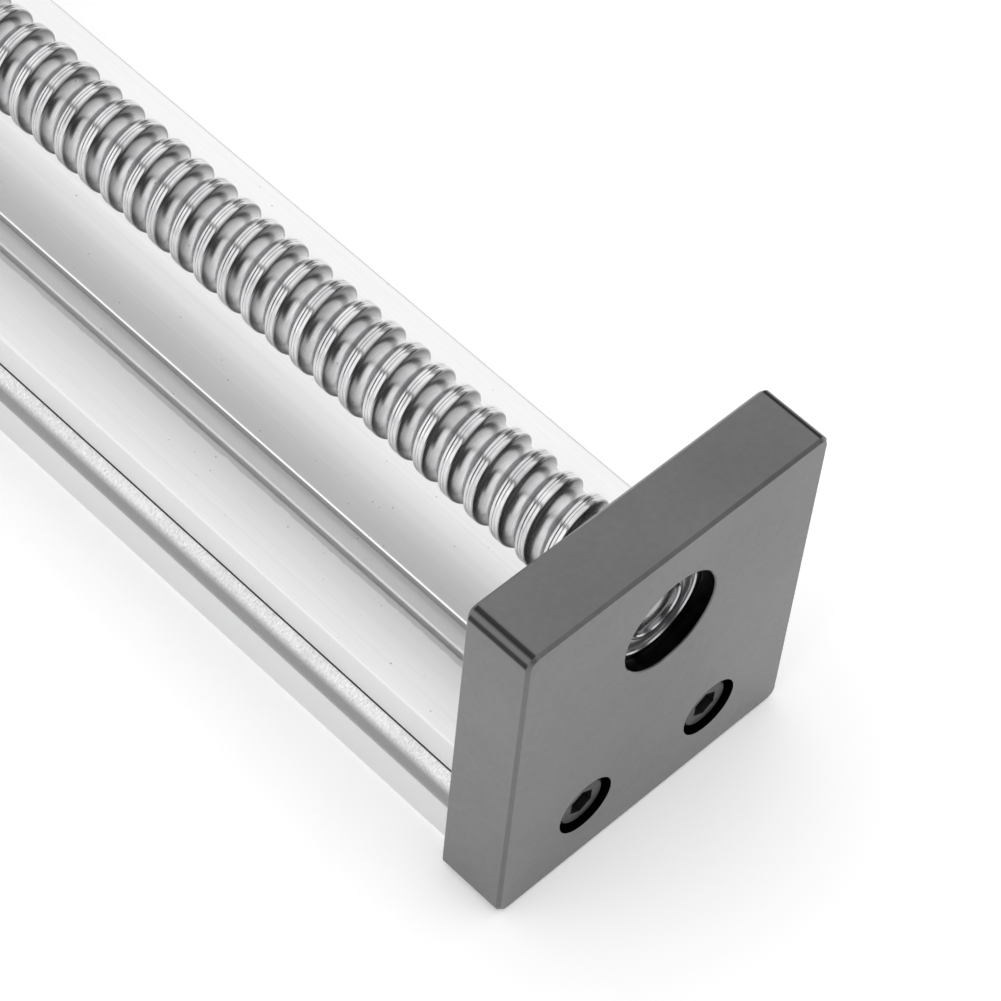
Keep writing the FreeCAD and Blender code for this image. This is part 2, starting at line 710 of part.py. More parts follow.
def ring(label, inside, outside, width, x):
    """A turned ring about the screw's axis, bevelled on its four corners."""
    inner, outer = formula(inside) / 2, formula(outside) / 2
    edge = edge_break / 2
    body = turned(label, [
        (0, inner + edge), (edge, inner), (width - edge, inner), (width, inner + edge),
        (width, outer - edge), (width - edge, outer), (edge, outer), (0, outer - edge),
    ])
    return place(body, x=x, z=axis_height)


def washer(inside, outside, thickness, x):
    """A flat ring about the screw's axis."""
    disc = cylinder(outside, thickness, x, 0, axis_height, ALONG_X)
    return cut(disc, [cylinder(inside, thickness, x, 0, axis_height, ALONG_X)])


def bearing(name, bore_size, outside, width, places):
    """Outer rings, inner rings and shields of ball bearings that stand at the given places."""
    wall = (outside - bore_size) / 2 * race_share
    outer = [ring(name + "_outer", outside - 2 * wall, outside, width, x) for x in places]
    inner = [ring(name + "_inner", bore_size + 2 * fit_gap, bore_size + 2 * wall, width, x) for x in places]
    shields = [washer(bore_size + 2 * wall + 2 * shield_gap, outside - 2 * wall, shield_thickness, x + offset)
               for x in places for offset in (edge_break, width - edge_break - shield_thickness)]
    group(name + "_outer_rings" if len(places) > 1 else name + "_outer_ring", outer)
    group(name + "_inner_rings" if len(places) > 1 else name + "_inner_ring", inner)
    group(name + "_shields", shields)


# The ball screw, turned down at both ends, and what is clamped on it

def ball_screw():
    """Threaded shaft with collars and journals at its ends, and a right-hand ball groove along it."""
    crest = screw_diameter / 2
    collar = drive_bore / 2 + shoulder_rise
    journal = drive_bore / 2
    tail = tail_diameter / 2
    idle_collar = idle_bore / 2 + shoulder_rise
    idle = idle_bore / 2
    thread_start = -rail_end + screw_end_gap
    thread_end = rail_end - screw_end_gap
    tail_end = -(spider_start - edge_break)
    idle_end = plate_face - journal_recess
    body = turned("ball_screw", [
        (tail_end, 0), (tail_end, tail - edge_break), (tail_end + edge_break, tail),
        (-lock_nut_end - edge_break, tail), (-lock_nut_end, journal), (-shoulder, journal),
        (-shoulder, collar), (thread_start, collar), (thread_start, crest - edge_break),
        (thread_start + edge_break, crest), (thread_end - edge_break, crest),
        (thread_end, crest - edge_break), (thread_end, idle_collar),
        (idle_face - idle_width, idle_collar), (idle_face - idle_width, idle),
        (idle_end - edge_break, idle), (idle_end, idle - edge_break), (idle_end, 0),
    ])
    centre = new_sketch(body, "XY_Plane")
    drill = centre_hole / 2
    outline(centre, [(idle_end - 2 * drill, 0), (idle_end + edge_break, drill + edge_break / 2),
                     (idle_end + edge_break, 0)])
    feature = body.newObject("PartDesign::Groove", "ball_screw_centre")
    feature.Profile = centre
    feature.ReferenceAxis = (centre, ["H_Axis"])
    feature.Angle = 360
    doc.recompute()
    helical_groove(body, thread_start - groove_lead_in, crest - ball_groove_depth + ball_groove / 2,
                   ball_groove, screw_lead, thread_end - thread_start + 2 * groove_lead_in)
    place(body, z=axis_height)
    return keep("ball_screw", body)


def bearing_cover():
    """Ring that holds the drive bearings' outer rings in the block."""
    body = new_body("bearing_cover")
    face = new_sketch(body, "YZ_Plane")
    circle(face, 0, 0, cover_outer)
    circle(face, 0, 0, cover_inner)
    for across, up in round_places(cover_screw_circle, COVER_ANGLES):
        circle(face, across, up, small_thread + 2 * hole_gap)
    pad(body, face, cover_thickness)
    spigot = new_sketch(body, "YZ_Plane", cover_thickness)
    circle(spigot, 0, 0, drive_outer - 2 * fit_gap)
    circle(spigot, 0, 0, drive_outer - bearing_lip)
    pad(body, spigot, block_thickness - block_wall - 2 * drive_width - fit_gap)
    place(body, x=-block_face - cover_thickness, z=axis_height)
    keep("bearing_cover", body)
    reach = small_grip + cover_thickness
    group("bearing_cover_screws", [
        cap_screw(SMALL, reach, -block_face - cover_thickness, across, up, ALONG_X)
        for across, up in round_places(cover_screw_circle, COVER_ANGLES, axis_height)])


def bearing_lock_nut():
    """Round nut with four spanner slots, which clamps the bearings' inner rings."""
    outer = lock_nut_outer / 2
    body = turned("bearing_lock_nut", [
        (0, drive_bore / 2 + thread_gap), (0, outer - edge_break), (edge_break, outer),
        (lock_nut_length - edge_break, outer), (lock_nut_length, outer - edge_break),
        (lock_nut_length, drive_bore / 2 + thread_gap),
    ])
    slot = new_sketch(body, "YZ_Plane")
    half = lock_nut_slot / 2
    rectangle(slot, -half, half, outer - half, outer + half)
    before = body.Shape.Volume
    feature = pocket(body, slot)
    repeated(body, feature, 4)
    must_shrink(body, feature, before)
    place(body, x=-lock_nut_end, z=axis_height)
    return keep("bearing_lock_nut", body)


# Coupling: two hubs whose jaws interlock with the legs of a spider

def coupling_hub(label, hole, start, turn):
    """A clamping hub: solid ring, three jaws, a slit into the bore and a hole for the clamp screw."""
    body = new_body(label)
    face = new_sketch(body, "YZ_Plane")
    circle(face, 0, 0, coupling_diameter)
    pad(body, face, hub_length + jaw_length - jaw_gap)
    bevelled(body, edge_break, lambda one: abs(one.normalAt(0, 0).x) > 0.9)
    through = new_sketch(body, "YZ_Plane")
    circle(through, 0, 0, hole + 2 * fit_gap)
    pocket(body, through)
    middle = new_sketch(body, "YZ_Plane", hub_length)
    circle(middle, 0, 0, spider_ring + 4 * jaw_gap)
    pocket(body, middle, jaw_length, reverse=True)
    apex = (leg_width / 2 + jaw_gap) * 2
    far = coupling_diameter
    slope, rise = math.cos(math.radians(30)), math.sin(math.radians(30))
    gap = new_sketch(body, "YZ_Plane", hub_length)
    outline(gap, [
        (0, 0), (apex, 0), (apex + far * slope, far * rise),
        (-rise * apex, apex * slope + far), (-rise * apex, apex * slope),
    ])
    feature = pocket(body, gap, jaw_length, reverse=True)
    repeated(body, feature, 3)
    slit = new_sketch(body, "XY_Plane", -clamp_slit / 2)
    rectangle(slit, -edge_break, slit_length, 0, coupling_diameter)
    pocket(body, slit, clamp_slit, reverse=True)
    clamp = new_sketch(body, "XY_Plane")
    circle(clamp, clamp_place, clamp_reach, small_thread + 2 * thread_gap)
    pocket(body, clamp)
    sink = new_sketch(body, "XY_Plane", clamp_seat)
    circle(sink, clamp_place, clamp_reach, small_sink)
    pocket(body, sink, coupling_diameter / 2, reverse=True)
    place(body, x=start, z=axis_height, turn=turn)
    return keep(label, body)


def coupling_spider():
    """Elastomer star whose six legs sit between the hubs' jaws."""
    body = new_body("coupling_spider")
    face = new_sketch(body, "YZ_Plane")
    circle(face, 0, 0, spider_ring)
    pad(body, face, jaw_length - 2 * jaw_gap)
    leg = new_sketch(body, "YZ_Plane")
    rectangle(leg, 0, coupling_diameter / 2 - edge_break, -leg_width / 2, leg_width / 2)
    feature = pad(body, leg, jaw_length - 2 * jaw_gap)
    repeated(body, feature, 6)
    hole = new_sketch(body, "YZ_Plane")
    circle(hole, 0, 0, spider_hole)
    pocket(body, hole)
    turn = FreeCAD.Rotation(FreeCAD.Vector(1, 0, 0), 30)
    place(body, x=-motor_hub_start + jaw_gap, z=axis_height, turn=turn)
    return keep("coupling_spider", body)


def clamp_screws():
    """One screw across the slit of each hub."""
    seat = axis_height + clamp_seat
    near = -(hub_start + clamp_place)
    far = -(motor_hub_start + hub_length - clamp_place)
    group("coupling_clamp_screws", [
        cap_screw(SMALL, clamp_length, near, -clamp_reach, seat, UPSIDE_DOWN),
        cap_screw(SMALL, clamp_length, far, clamp_reach, seat, UPSIDE_DOWN)])


def coupling_housing():
    """Square block bored through for the coupling, with side windows and the motor's screw pattern."""
    body = new_body("coupling_housing")
    section = new_sketch(body, "YZ_Plane")
    half = plate_width / 2
    rectangle(section, -half, half, axis_height - half, axis_height + half)
    pad(body, section, housing_length)
    rounded(body, plate_round, lambda point, run: abs(run.x) > 0.9)
    bevelled(body, plate_bevel, lambda face: abs(face.normalAt(0, 0).x) > 0.9)
    chamber = new_sketch(body, "YZ_Plane")
    circle(chamber, 0, axis_height, chamber_diameter)
    pocket(body, chamber)
    pilot = new_sketch(body, "YZ_Plane")
    circle(pilot, 0, axis_height, pilot_diameter)
    pocket(body, pilot, pilot_depth, reverse=True)
    motor_holes = new_sketch(body, "YZ_Plane")
    spread = motor_screw_spacing / 2
    for side in (-1, 1):
        for level in (-1, 1):
            circle(motor_holes, side * spread, axis_height + level * spread, tap_core)
    pocket(body, motor_holes, motor_screw_depth, reverse=True)
    threads = new_sketch(body, "YZ_Plane", housing_length)
    for across, up in HOUSING_SCREWS:
        circle(threads, across, up, mid_thread + 2 * thread_gap)
    pocket(body, threads, mid_grip + tap_spare)
    window = new_sketch(body, "XZ_Plane")
    middle = housing_end - (spider_start + jaw_length / 2)
    left, right = middle - window_length / 2, middle + window_length / 2
    low, high = axis_height - window_height / 2, axis_height + window_height / 2
    rectangle(window, left, right, low, high)
    pocket(body, window)
    place(body, x=-housing_end)
    return keep("coupling_housing", body)


# Carriage: a foot with the rollers' holes and a body bored for the nut, with a table plate on top

AXLES = [(carriage_middle + end * roller_spacing / 2, side) for side in (-1, 1) for end in (-1, 1)]
TABLE_SCREWS = [(end * table_screw_length / 2, side * table_screw_width / 2)
                for end in (-1, 1) for side in (-1, 1)]
NUT_ANGLES = (35, 145, 215, 325)


def carriage_block():
    body = new_body("carriage_block")
    section = new_sketch(body, "YZ_Plane")
    wide, narrow = carriage_width / 2, body_width / 2
    outline(section, [
        (-wide, foot_bottom), (wide, foot_bottom), (wide, foot_top), (narrow, foot_top),
        (narrow, table_bottom), (-narrow, table_bottom), (-narrow, foot_top), (-wide, foot_top),
    ])
    pad(body, section, carriage_length)

    def inner_corner(point, run):
        return abs(run.x) > 0.9 and abs(point.z - foot_top.value) < 0.01 and abs(point.y) < narrow.value + 0.01

    rounded(body, inner_round, inner_corner)
    rounded(body, table_round, lambda point, run: abs(run.z) > 0.9 and abs(point.y) > narrow.value + 1)
    bore(body, [(0, axis_height)], nut_diameter + 2 * fit_gap)
    nut_threads = new_sketch(body, "YZ_Plane", carriage_length)
    for across, up in round_places(nut_screw_circle, NUT_ANGLES, axis_height):
        circle(nut_threads, across, up, mid_thread + 2 * thread_gap)
    pocket(body, nut_threads, mid_grip + tap_spare)
    axles = new_sketch(body, "XY_Plane", foot_bottom)
    bushes = new_sketch(body, "XY_Plane", foot_bottom)
    for end in (-1, 1):
        along = carriage_length / 2 + end * roller_spacing / 2
        circle(axles, along, -axle_side, roller_bore + 2 * fit_gap)
        circle(bushes, along, axle_side - bush_throw, bush_diameter + 2 * fit_gap)
    pocket(body, axles)
    pocket(body, bushes)
    screws = new_sketch(body, "XY_Plane", table_bottom)
    for along, across in TABLE_SCREWS:
        circle(screws, carriage_length / 2 + along, across, big_thread + 2 * thread_gap)
    pocket(body, screws, table_grip + tap_spare)
    place(body, x=carriage_back)
    return keep("carriage_block", body)


def table_plate():
    """Plate that the load is screwed to, with its own screws sunk in it."""
    body = new_body("table_plate")
    section = new_sketch(body, "XY_Plane")
    half_length, half_width = carriage_length / 2, carriage_width / 2
    rectangle(section, -half_length, half_length, -half_width, half_width)
    pad(body, section, table_thickness)
    rounded(body, table_round, lambda point, run: abs(run.z) > 0.9)
    bevelled(body, plate_bevel, lambda face: abs(face.normalAt(0, 0).z) > 0.9)
    holes = new_sketch(body, "XY_Plane")
    sinks = new_sketch(body, "XY_Plane", table_thickness)
    for along, across in TABLE_SCREWS:
        circle(holes, along, across, big_thread + 2 * hole_gap)
        circle(sinks, along, across, big_sink)
    for end in (-1, 1):
        for side in (-1, 1):
            circle(holes, end * payload_length / 2, side * payload_width / 2, tap_core)
    pocket(body, holes)
    pocket(body, sinks, FOOT_HEAD)
    place(body, x=carriage_middle, z=table_bottom)
    keep("table_plate", body)
    group("table_screws", [
        cap_screw(BIG, table_thickness - FOOT_HEAD + table_grip, carriage_middle + along, across,
                  table_top - FOOT_HEAD, UPSIDE_DOWN)
        for along, across in TABLE_SCREWS])


def ball_nut():
    """Flanged nut: a body that fills the carriage's bore, and a flange with two flats."""
    body = new_body("ball_nut")
    face = new_sketch(body, "YZ_Plane")
    circle(face, 0, 0, flange_diameter)
    pad(body, face, flange_thickness)
    flats = new_sketch(body, "YZ_Plane")
    for side in (-1, 1):
        level = side * flange_flats / 2
        beyond = side * flange_diameter
        rectangle(flats, -flange_diameter, flange_diameter, level, beyond)
    pocket(body, flats)
    barrel = new_sketch(body, "YZ_Plane")
    circle(barrel, 0, 0, nut_diameter)
    feature = body.newObject("PartDesign::Pad", "ball_nut_barrel")
    feature.Profile = barrel
    feature.Reversed = True
    bind(feature, Length=nut_length)
    doc.recompute()
    through = new_sketch(body, "YZ_Plane")
    circle(through, 0, 0, screw_diameter + 2 * nut_clearance)
    pocket(body, through)
    front = new_sketch(body, "YZ_Plane", flange_thickness)
    circle(front, 0, 0, wiper_diameter + 2 * fit_gap)
    pocket(body, front, wiper_thickness)
    back = new_sketch(body, "YZ_Plane", -nut_length)
    circle(back, 0, 0, wiper_diameter + 2 * fit_gap)
    pocket(body, back, wiper_thickness, reverse=True)
    holes = new_sketch(body, "YZ_Plane")
    for across, up in round_places(nut_screw_circle, NUT_ANGLES + (0, 180)):
        circle(holes, across, up, mid_thread + 2 * hole_gap)
    pocket(body, holes)
    nipple_hole = new_sketch(body, "XY_Plane")
    circle(nipple_hole, flange_thickness / 2, 0, nipple_thread + 2 * thread_gap)
    pocket(body, nipple_hole, flange_diameter, reverse=True)
    place(body, x=carriage_front, z=axis_height)
    keep("ball_nut", body)
    wiper = (screw_diameter + 2 * wiper_gap, wiper_diameter)
    group("nut_wipers", [
        ring("front_wiper", *wiper, wiper_thickness, carriage_front + flange_thickness - wiper_thickness),
        ring("back_wiper", *wiper, wiper_thickness, carriage_front - nut_length)])
    group("nut_screws", [
        cap_screw(MID, flange_thickness + mid_grip, carriage_front + flange_thickness, across, up,
                  AGAINST_X)
        for across, up in round_places(nut_screw_circle, NUT_ANGLES, axis_height)])


def grease_nipple():
    """Screwed into the flange's upper flat: a threaded stem, a hexagon and a round head."""
    seat = axis_height + flange_flats / 2
    x = carriage_front + flange_thickness / 2
    stem_length = (flange_flats - wiper_diameter) / 2 - edge_break
    stem = cylinder(nipple_thread, stem_length + edge_break, x, 0, seat - stem_length)
    collar = hexagon(nipple_hex, nipple_collar, x, 0, seat)
    neck = cylinder(nipple_neck, nipple_length, x, 0, seat)
    head_length = (nipple_length - nipple_collar) / 2
    head = cone(nipple_thread, nipple_neck, head_length, x, 0, seat + nipple_length - head_length)
    return keep("grease_nipple", fuse([stem, collar, neck, head]))


# Rollers: grooved outer rings that run on the rods, on axles bolted through the carriage's foot

ROLLER_NAMES = {(-1, -1): "roller_left_rear", (-1, 1): "roller_left_front",
                (1, -1): "roller_right_rear", (1, 1): "roller_right_front"}


def roller(label, x, side):
    """Grooved outer ring of one roller."""
    outer, inner, half = roller_diameter / 2, roller_race / 2, roller_width / 2
    body = turned(label, [
        (inner, -half), (outer - edge_break, -half), (outer, edge_break - half),
        (outer, half - edge_break), (outer - edge_break, half), (inner, half),
    ], "XZ_Plane", "V_Axis")
    turned_groove(body, groove_centre, 0, rod_diameter + 2 * rod_clearance, "XZ_Plane", "V_Axis")
    place(body, x=x, y=side * axle_side, z=rod_height)
    return keep(label, body)


def upright_ring(inside, outside, height, x, y, z):
    return cut(cylinder(outside, height, x, y, z), [cylinder(inside, height, x, y, z)])


def rollers():
    half = roller_width / 2 + ring_proud
    for x, side in AXLES:
        end = -1 if x.value < carriage_middle.value else 1
        roller(ROLLER_NAMES[side, end], x, side)
    group("roller_inner_rings", [
        upright_ring(roller_bore + 2 * fit_gap, ring_diameter, 2 * half, x, side * axle_side, rod_height - half)
        for x, side in AXLES])
    seal = roller_width / 2 - ring_proud - shield_thickness
    group("roller_shields", [
        upright_ring(ring_diameter + 2 * fit_gap, roller_race - 2 * rod_clearance, shield_thickness,
                     x, side * axle_side, rod_height + level)
        for x, side in AXLES for level in (seal, -seal - shield_thickness)])


def axle_bolts():
    """Bolts that carry the rollers: head below, shank through the ring and the carriage's foot."""
    bottom = rod_height - roller_width / 2 - ring_proud
    top = foot_top + axle_nut_height + axle_spare
    bolts = []
    for x, side in AXLES:
        y = side * axle_side
        head = cylinder(axle_head, axle_head_height, x, y, bottom - axle_head_height)
        shank = cylinder(roller_bore, top - bottom, x, y, bottom)
        socket = hexagon(big_hex, axle_head_height / 2, x, y, bottom - axle_head_height)
        bolts.append(cut(fuse([head, shank]), [socket]))
    group("roller_axle_bolts", bolts)
    group("axle_nuts", [
        cut(hexagon(axle_nut_width, axle_nut_height, x, side * axle_side, foot_top),
            [cylinder(roller_bore + 2 * thread_gap, axle_nut_height, x, side * axle_side, foot_top)])
        for x, side in AXLES])


def spacers_and_bushes():
    """Plain spacers on one side, and on the other eccentric bushes that set the rollers' pressure."""
    start = rod_height + roller_width / 2 + ring_proud
    height = foot_bottom - start
    group("roller_spacers", [
        upright_ring(roller_bore + 2 * fit_gap, spacer_diameter, height, x, side * axle_side, start)
        for x, side in AXLES if side < 0])
    bushes = []
    for x, side in AXLES:
        if side < 0:
            continue
        y = side * axle_side
        collar = hexagon(bush_hex, height, x, y - bush_throw, start)
        sleeve = cylinder(bush_diameter, foot_height, x, y - bush_throw, foot_bottom)
        hole = cylinder(roller_bore + 2 * fit_gap, height + foot_height, x, y, start)
        bushes.append(cut(fuse([collar, sleeve]), [hole]))
    group("eccentric_bushes", bushes)


base_rail()
guide_rod("guide_rod_left", -1)
guide_rod("guide_rod_right", 1)
idle_end_plate()
drive_end_block()
end_screws()
bearing("idle_bearing", idle_bore, idle_outer, idle_width, [idle_face - idle_width])
bearing("drive_bearing", drive_bore, drive_outer, drive_width, [-bearing_end, -bearing_end + drive_width])
ball_screw()
bearing_cover()
bearing_lock_nut()
coupling_hub("coupling_hub_screw_side", tail_diameter, -hub_start,
             FreeCAD.Rotation(FreeCAD.Vector(0, 0, 1), 180))
coupling_hub("coupling_hub_motor_side", motor_shaft, -(motor_hub_start + hub_length), UPRIGHT)
coupling_spider()
clamp_screws()
coupling_housing()
carriage_block()
table_plate()
ball_nut()
grease_nipple()
rollers()
axle_bolts()
spacers_and_bushes()

doc.recompute()
for thing in doc.Objects:
    if "Invalid" in thing.State or "Error" in thing.State:
        raise ValueError(thing.Label + " did not build: " + ", ".join(thing.State))
os.makedirs("parts", exist_ok=True)
for thing in kept:
    if thing.Shape.isNull() or not thing.Shape.isValid() or not thing.Shape.Solids:
        raise ValueError(thing.Label + " has no valid shape")
    thing.Shape.exportStep("parts/" + thing.Label + ".step")
    print(thing.Label, len(thing.Shape.Solids), round(thing.Shape.Volume, 1))
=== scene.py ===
import math

import bmesh
import bpy
import numpy as np
from mathutils import Matrix, Vector


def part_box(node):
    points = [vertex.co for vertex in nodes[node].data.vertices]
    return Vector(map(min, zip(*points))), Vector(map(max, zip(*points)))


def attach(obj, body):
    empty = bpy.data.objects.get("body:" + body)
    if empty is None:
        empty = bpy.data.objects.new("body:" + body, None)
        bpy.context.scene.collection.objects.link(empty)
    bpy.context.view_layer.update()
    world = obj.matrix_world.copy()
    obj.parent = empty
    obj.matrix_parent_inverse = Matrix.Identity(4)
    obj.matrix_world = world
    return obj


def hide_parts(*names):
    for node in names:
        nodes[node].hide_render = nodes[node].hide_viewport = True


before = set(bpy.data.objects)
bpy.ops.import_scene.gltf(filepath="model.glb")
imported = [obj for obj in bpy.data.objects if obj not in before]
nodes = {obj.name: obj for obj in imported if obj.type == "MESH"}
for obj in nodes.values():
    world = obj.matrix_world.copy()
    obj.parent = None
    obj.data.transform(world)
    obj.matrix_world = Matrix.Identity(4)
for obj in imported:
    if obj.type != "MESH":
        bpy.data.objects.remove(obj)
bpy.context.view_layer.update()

# Base rail
# An aluminium extrusion with a raised deck, two floor slits and T-slots underneath, clear anodised.
# The die leaves long fine lines along it, and the deck and shoulders carry light scratches and specks.


def node_group(name, inputs, outputs):
    """An empty shader node group with named sockets; returns it with its input and output nodes."""
    group = bpy.data.node_groups.new(name, "ShaderNodeTree")
    for label, kind, value in inputs:
        socket = group.interface.new_socket(label, in_out="INPUT", socket_type=kind)
        socket.default_value = value
    for label in outputs:
        group.interface.new_socket(label, in_out="OUTPUT", socket_type="NodeSocketFloat")
    return group, group.nodes.new("NodeGroupInput"), group.nodes.new("NodeGroupOutput")


SCREW_HEIGHT = 0.044
LINE_DETAIL, LINE_ROUGHNESS, PATCH_DETAIL = 4.0, 0.65, 3.0
SPECK_SIZES, SPECK_SOFT = (0.08, 0.26), 0.05


def worked_surface():
    """Fine lines, soft patches and sparse specks of a worked surface, as three values from 0 to 1.

    The lines are noise stretched by Line Scale. On a piece turned about the screw's axis they follow x
    and the distance from that axis. A speck is a dot in a few of the cells of a Voronoi pattern, with a
    size of its own.
    """
    group, given, made = node_group("worked_surface", [
        ("Line Scale", "NodeSocketVector", (50.0, 2500.0, 2500.0)),
        ("Turned", "NodeSocketFloat", 0.0),
        ("Patch Scale", "NodeSocketFloat", 40.0),
        ("Speck Scale", "NodeSocketFloat", 900.0),
        ("Speck Share", "NodeSocketFloat", 0.02),
    ], ["Lines", "Patches", "Specks"])
    tree = group.nodes
    place = tree.new("ShaderNodeTexCoord")
    stretch = tree.new("ShaderNodeVectorMath")
    stretch.operation = "MULTIPLY"
    offset = tree.new("ShaderNodeVectorMath")
    offset.operation = "SUBTRACT"
    offset.inputs[1].default_value = (0.0, 0.0, SCREW_HEIGHT)
    group.links.new(place.outputs["Object"], offset.inputs[0])
    across = tree.new("ShaderNodeVectorMath")
    across.operation = "MULTIPLY"
    across.inputs[1].default_value = (0.0, 1.0, 1.0)
    group.links.new(offset.outputs[0], across.inputs[0])
    radius = tree.new("ShaderNodeVectorMath")
    radius.operation = "LENGTH"
    group.links.new(across.outputs[0], radius.inputs[0])
    parts = tree.new("ShaderNodeSeparateXYZ")
    group.links.new(place.outputs["Object"], parts.inputs[0])
    turned = tree.new("ShaderNodeCombineXYZ")
    group.links.new(parts.outputs[0], turned.inputs[0])
    group.links.new(radius.outputs["Value"], turned.inputs[1])
    chosen_place = tree.new("ShaderNodeMix")
    chosen_place.data_type = "VECTOR"
    group.links.new(given.outputs["Turned"], chosen_place.inputs[0])
    group.links.new(place.outputs["Object"], chosen_place.inputs[4])
    group.links.new(turned.outputs[0], chosen_place.inputs[5])
    group.links.new(chosen_place.outputs[1], stretch.inputs[0])
    group.links.new(given.outputs["Line Scale"], stretch.inputs[1])
    lines = tree.new("ShaderNodeTexNoise")
    lines.inputs["Scale"].default_value = 1.0
    lines.inputs["Detail"].default_value = LINE_DETAIL
    lines.inputs["Roughness"].default_value = LINE_ROUGHNESS
    group.links.new(stretch.outputs[0], lines.inputs["Vector"])
    group.links.new(lines.outputs["Fac"], made.inputs["Lines"])
    patches = tree.new("ShaderNodeTexNoise")
    patches.inputs["Detail"].default_value = PATCH_DETAIL
    group.links.new(place.outputs["Object"], patches.inputs["Vector"])
    group.links.new(given.outputs["Patch Scale"], patches.inputs["Scale"])
    group.links.new(patches.outputs["Fac"], made.inputs["Patches"])
    specks = tree.new("ShaderNodeTexVoronoi")
    group.links.new(place.outputs["Object"], specks.inputs["Vector"])
    group.links.new(given.outputs["Speck Scale"], specks.inputs["Scale"])
    pick = tree.new("ShaderNodeSeparateColor")
    group.links.new(specks.outputs["Color"], pick.inputs["Color"])
    near = tree.new("ShaderNodeMapRange")
    near.inputs["From Max"].default_value = SPECK_SOFT
    group.links.new(specks.outputs["Distance"], near.inputs["Value"])
    size = tree.new("ShaderNodeMapRange")
    size.inputs["To Min"].default_value = SPECK_SIZES[0]
    size.inputs["To Max"].default_value = SPECK_SIZES[1]
    group.links.new(pick.outputs[1], size.inputs["Value"])
    group.links.new(size.outputs["Result"], near.inputs["From Min"])
    chosen = tree.new("ShaderNodeMath")
    chosen.operation = "LESS_THAN"
    group.links.new(pick.outputs[0], chosen.inputs[0])
    group.links.new(given.outputs["Speck Share"], chosen.inputs[1])
    both = tree.new("ShaderNodeMath")
    both.operation = "MULTIPLY"
    group.links.new(near.outputs["Result"], both.inputs[0])
    group.links.new(chosen.outputs[0], both.inputs[1])
    group.links.new(both.outputs[0], made.inputs["Specks"])
    return group


WORKED_SURFACE = worked_surface()
# The part of the noise's range that takes a finish from its light tone to its dark one, and from its
# least roughness to its most, and how far a line stands out at full bump
TONE_RANGE, GLOSS_RANGE, LINE_RELIEF = (0.35, 0.65), (0.3, 0.7), 0.0001


def finish(name, light, dark, metallic, roughness, line_scale, bump=0.0, line_share=0.3, speck=None,
           speck_share=0.02, speck_scale=900.0, patch_scale=40.0, ior=1.5, turned=False):
    """A worked surface's material: two tones by patch and line, a roughness that follows the lines,
    and a bump."""
    material = bpy.data.materials.new(name)
    material.use_nodes = True
    tree, links = material.node_tree.nodes, material.node_tree.links
    shader = tree["Principled BSDF"]
    shader.inputs["Metallic"].default_value = metallic
    shader.inputs["IOR"].default_value = ior
    surface = tree.new("ShaderNodeGroup")
    surface.node_tree = WORKED_SURFACE
    surface.inputs["Line Scale"].default_value = line_scale
    surface.inputs["Turned"].default_value = 1.0 if turned else 0.0
    surface.inputs["Patch Scale"].default_value = patch_scale
    surface.inputs["Speck Scale"].default_value = speck_scale
    surface.inputs["Speck Share"].default_value = speck_share
    share = tree.new("ShaderNodeMix")
    share.inputs[0].default_value = line_share
    links.new(surface.outputs["Patches"], share.inputs[2])
    links.new(surface.outputs["Lines"], share.inputs[3])
    spread = tree.new("ShaderNodeMapRange")
    spread.inputs["From Min"].default_value = TONE_RANGE[0]
    spread.inputs["From Max"].default_value = TONE_RANGE[1]
    links.new(share.outputs[0], spread.inputs["Value"])
    tones = tree.new("ShaderNodeMix")
    tones.data_type = "RGBA"
    tones.inputs[6].default_value = (*light, 1.0)
    tones.inputs[7].default_value = (*dark, 1.0)
    links.new(spread.outputs["Result"], tones.inputs[0])
    colour = tones.outputs[2]
    if speck:
        spotted = tree.new("ShaderNodeMix")
        spotted.data_type = "RGBA"
        spotted.inputs[7].default_value = (*speck, 1.0)
        links.new(surface.outputs["Specks"], spotted.inputs[0])
        links.new(colour, spotted.inputs[6])
        colour = spotted.outputs[2]
    links.new(colour, shader.inputs["Base Color"])
    gloss = tree.new("ShaderNodeMapRange")
    gloss.inputs["From Min"].default_value = GLOSS_RANGE[0]
    gloss.inputs["From Max"].default_value = GLOSS_RANGE[1]
    gloss.inputs["To Min"].default_value = roughness[0]
    gloss.inputs["To Max"].default_value = roughness[1]
    links.new(surface.outputs["Lines"], gloss.inputs["Value"])
    links.new(gloss.outputs["Result"], shader.inputs["Roughness"])
    if bump:
        relief = tree.new("ShaderNodeBump")
        relief.inputs["Strength"].default_value = bump
        relief.inputs["Distance"].default_value = LINE_RELIEF
        links.new(surface.outputs["Lines"], relief.inputs["Height"])
        links.new(relief.outputs["Normal"], shader.inputs["Normal"])
    return material


def dress(material, *names):
    """Gives the CAD pieces of these names one material."""
    for name in names:
        piece = nodes[name]
        piece.data.materials.clear()
        piece.data.materials.append(material)


def number(tree, operation, *values):
    """A Math node in a tree; each value is a number or another node's output."""
    node = tree.nodes.new("ShaderNodeMath")
    node.operation = operation
    for value, socket in zip(values, node.inputs):
        if isinstance(value, (int, float)):
            socket.default_value = value
        else:
            tree.links.new(value, socket)
    return node.outputs[0]


def step(tree, value, start, end, first=0.0, last=1.0):
    """A smooth step from first, where the value is start, to last, where it is end."""
    ramp = tree.nodes.new("ShaderNodeMapRange")
    ramp.interpolation_type = "SMOOTHSTEP"
    for label, edge in zip(("From Min", "From Max", "To Min", "To Max"), (start, end, first, last)):
        ramp.inputs[label].default_value = edge
    tree.links.new(value, ramp.inputs["Value"])
    return ramp.outputs["Result"]


def place_of(tree):
    """The x, y and z of a point of the piece, in metres."""
    place = tree.nodes.new("ShaderNodeTexCoord")
    split = tree.nodes.new("ShaderNodeSeparateXYZ")
    tree.links.new(place.outputs["Object"], split.inputs[0])
    return split.outputs


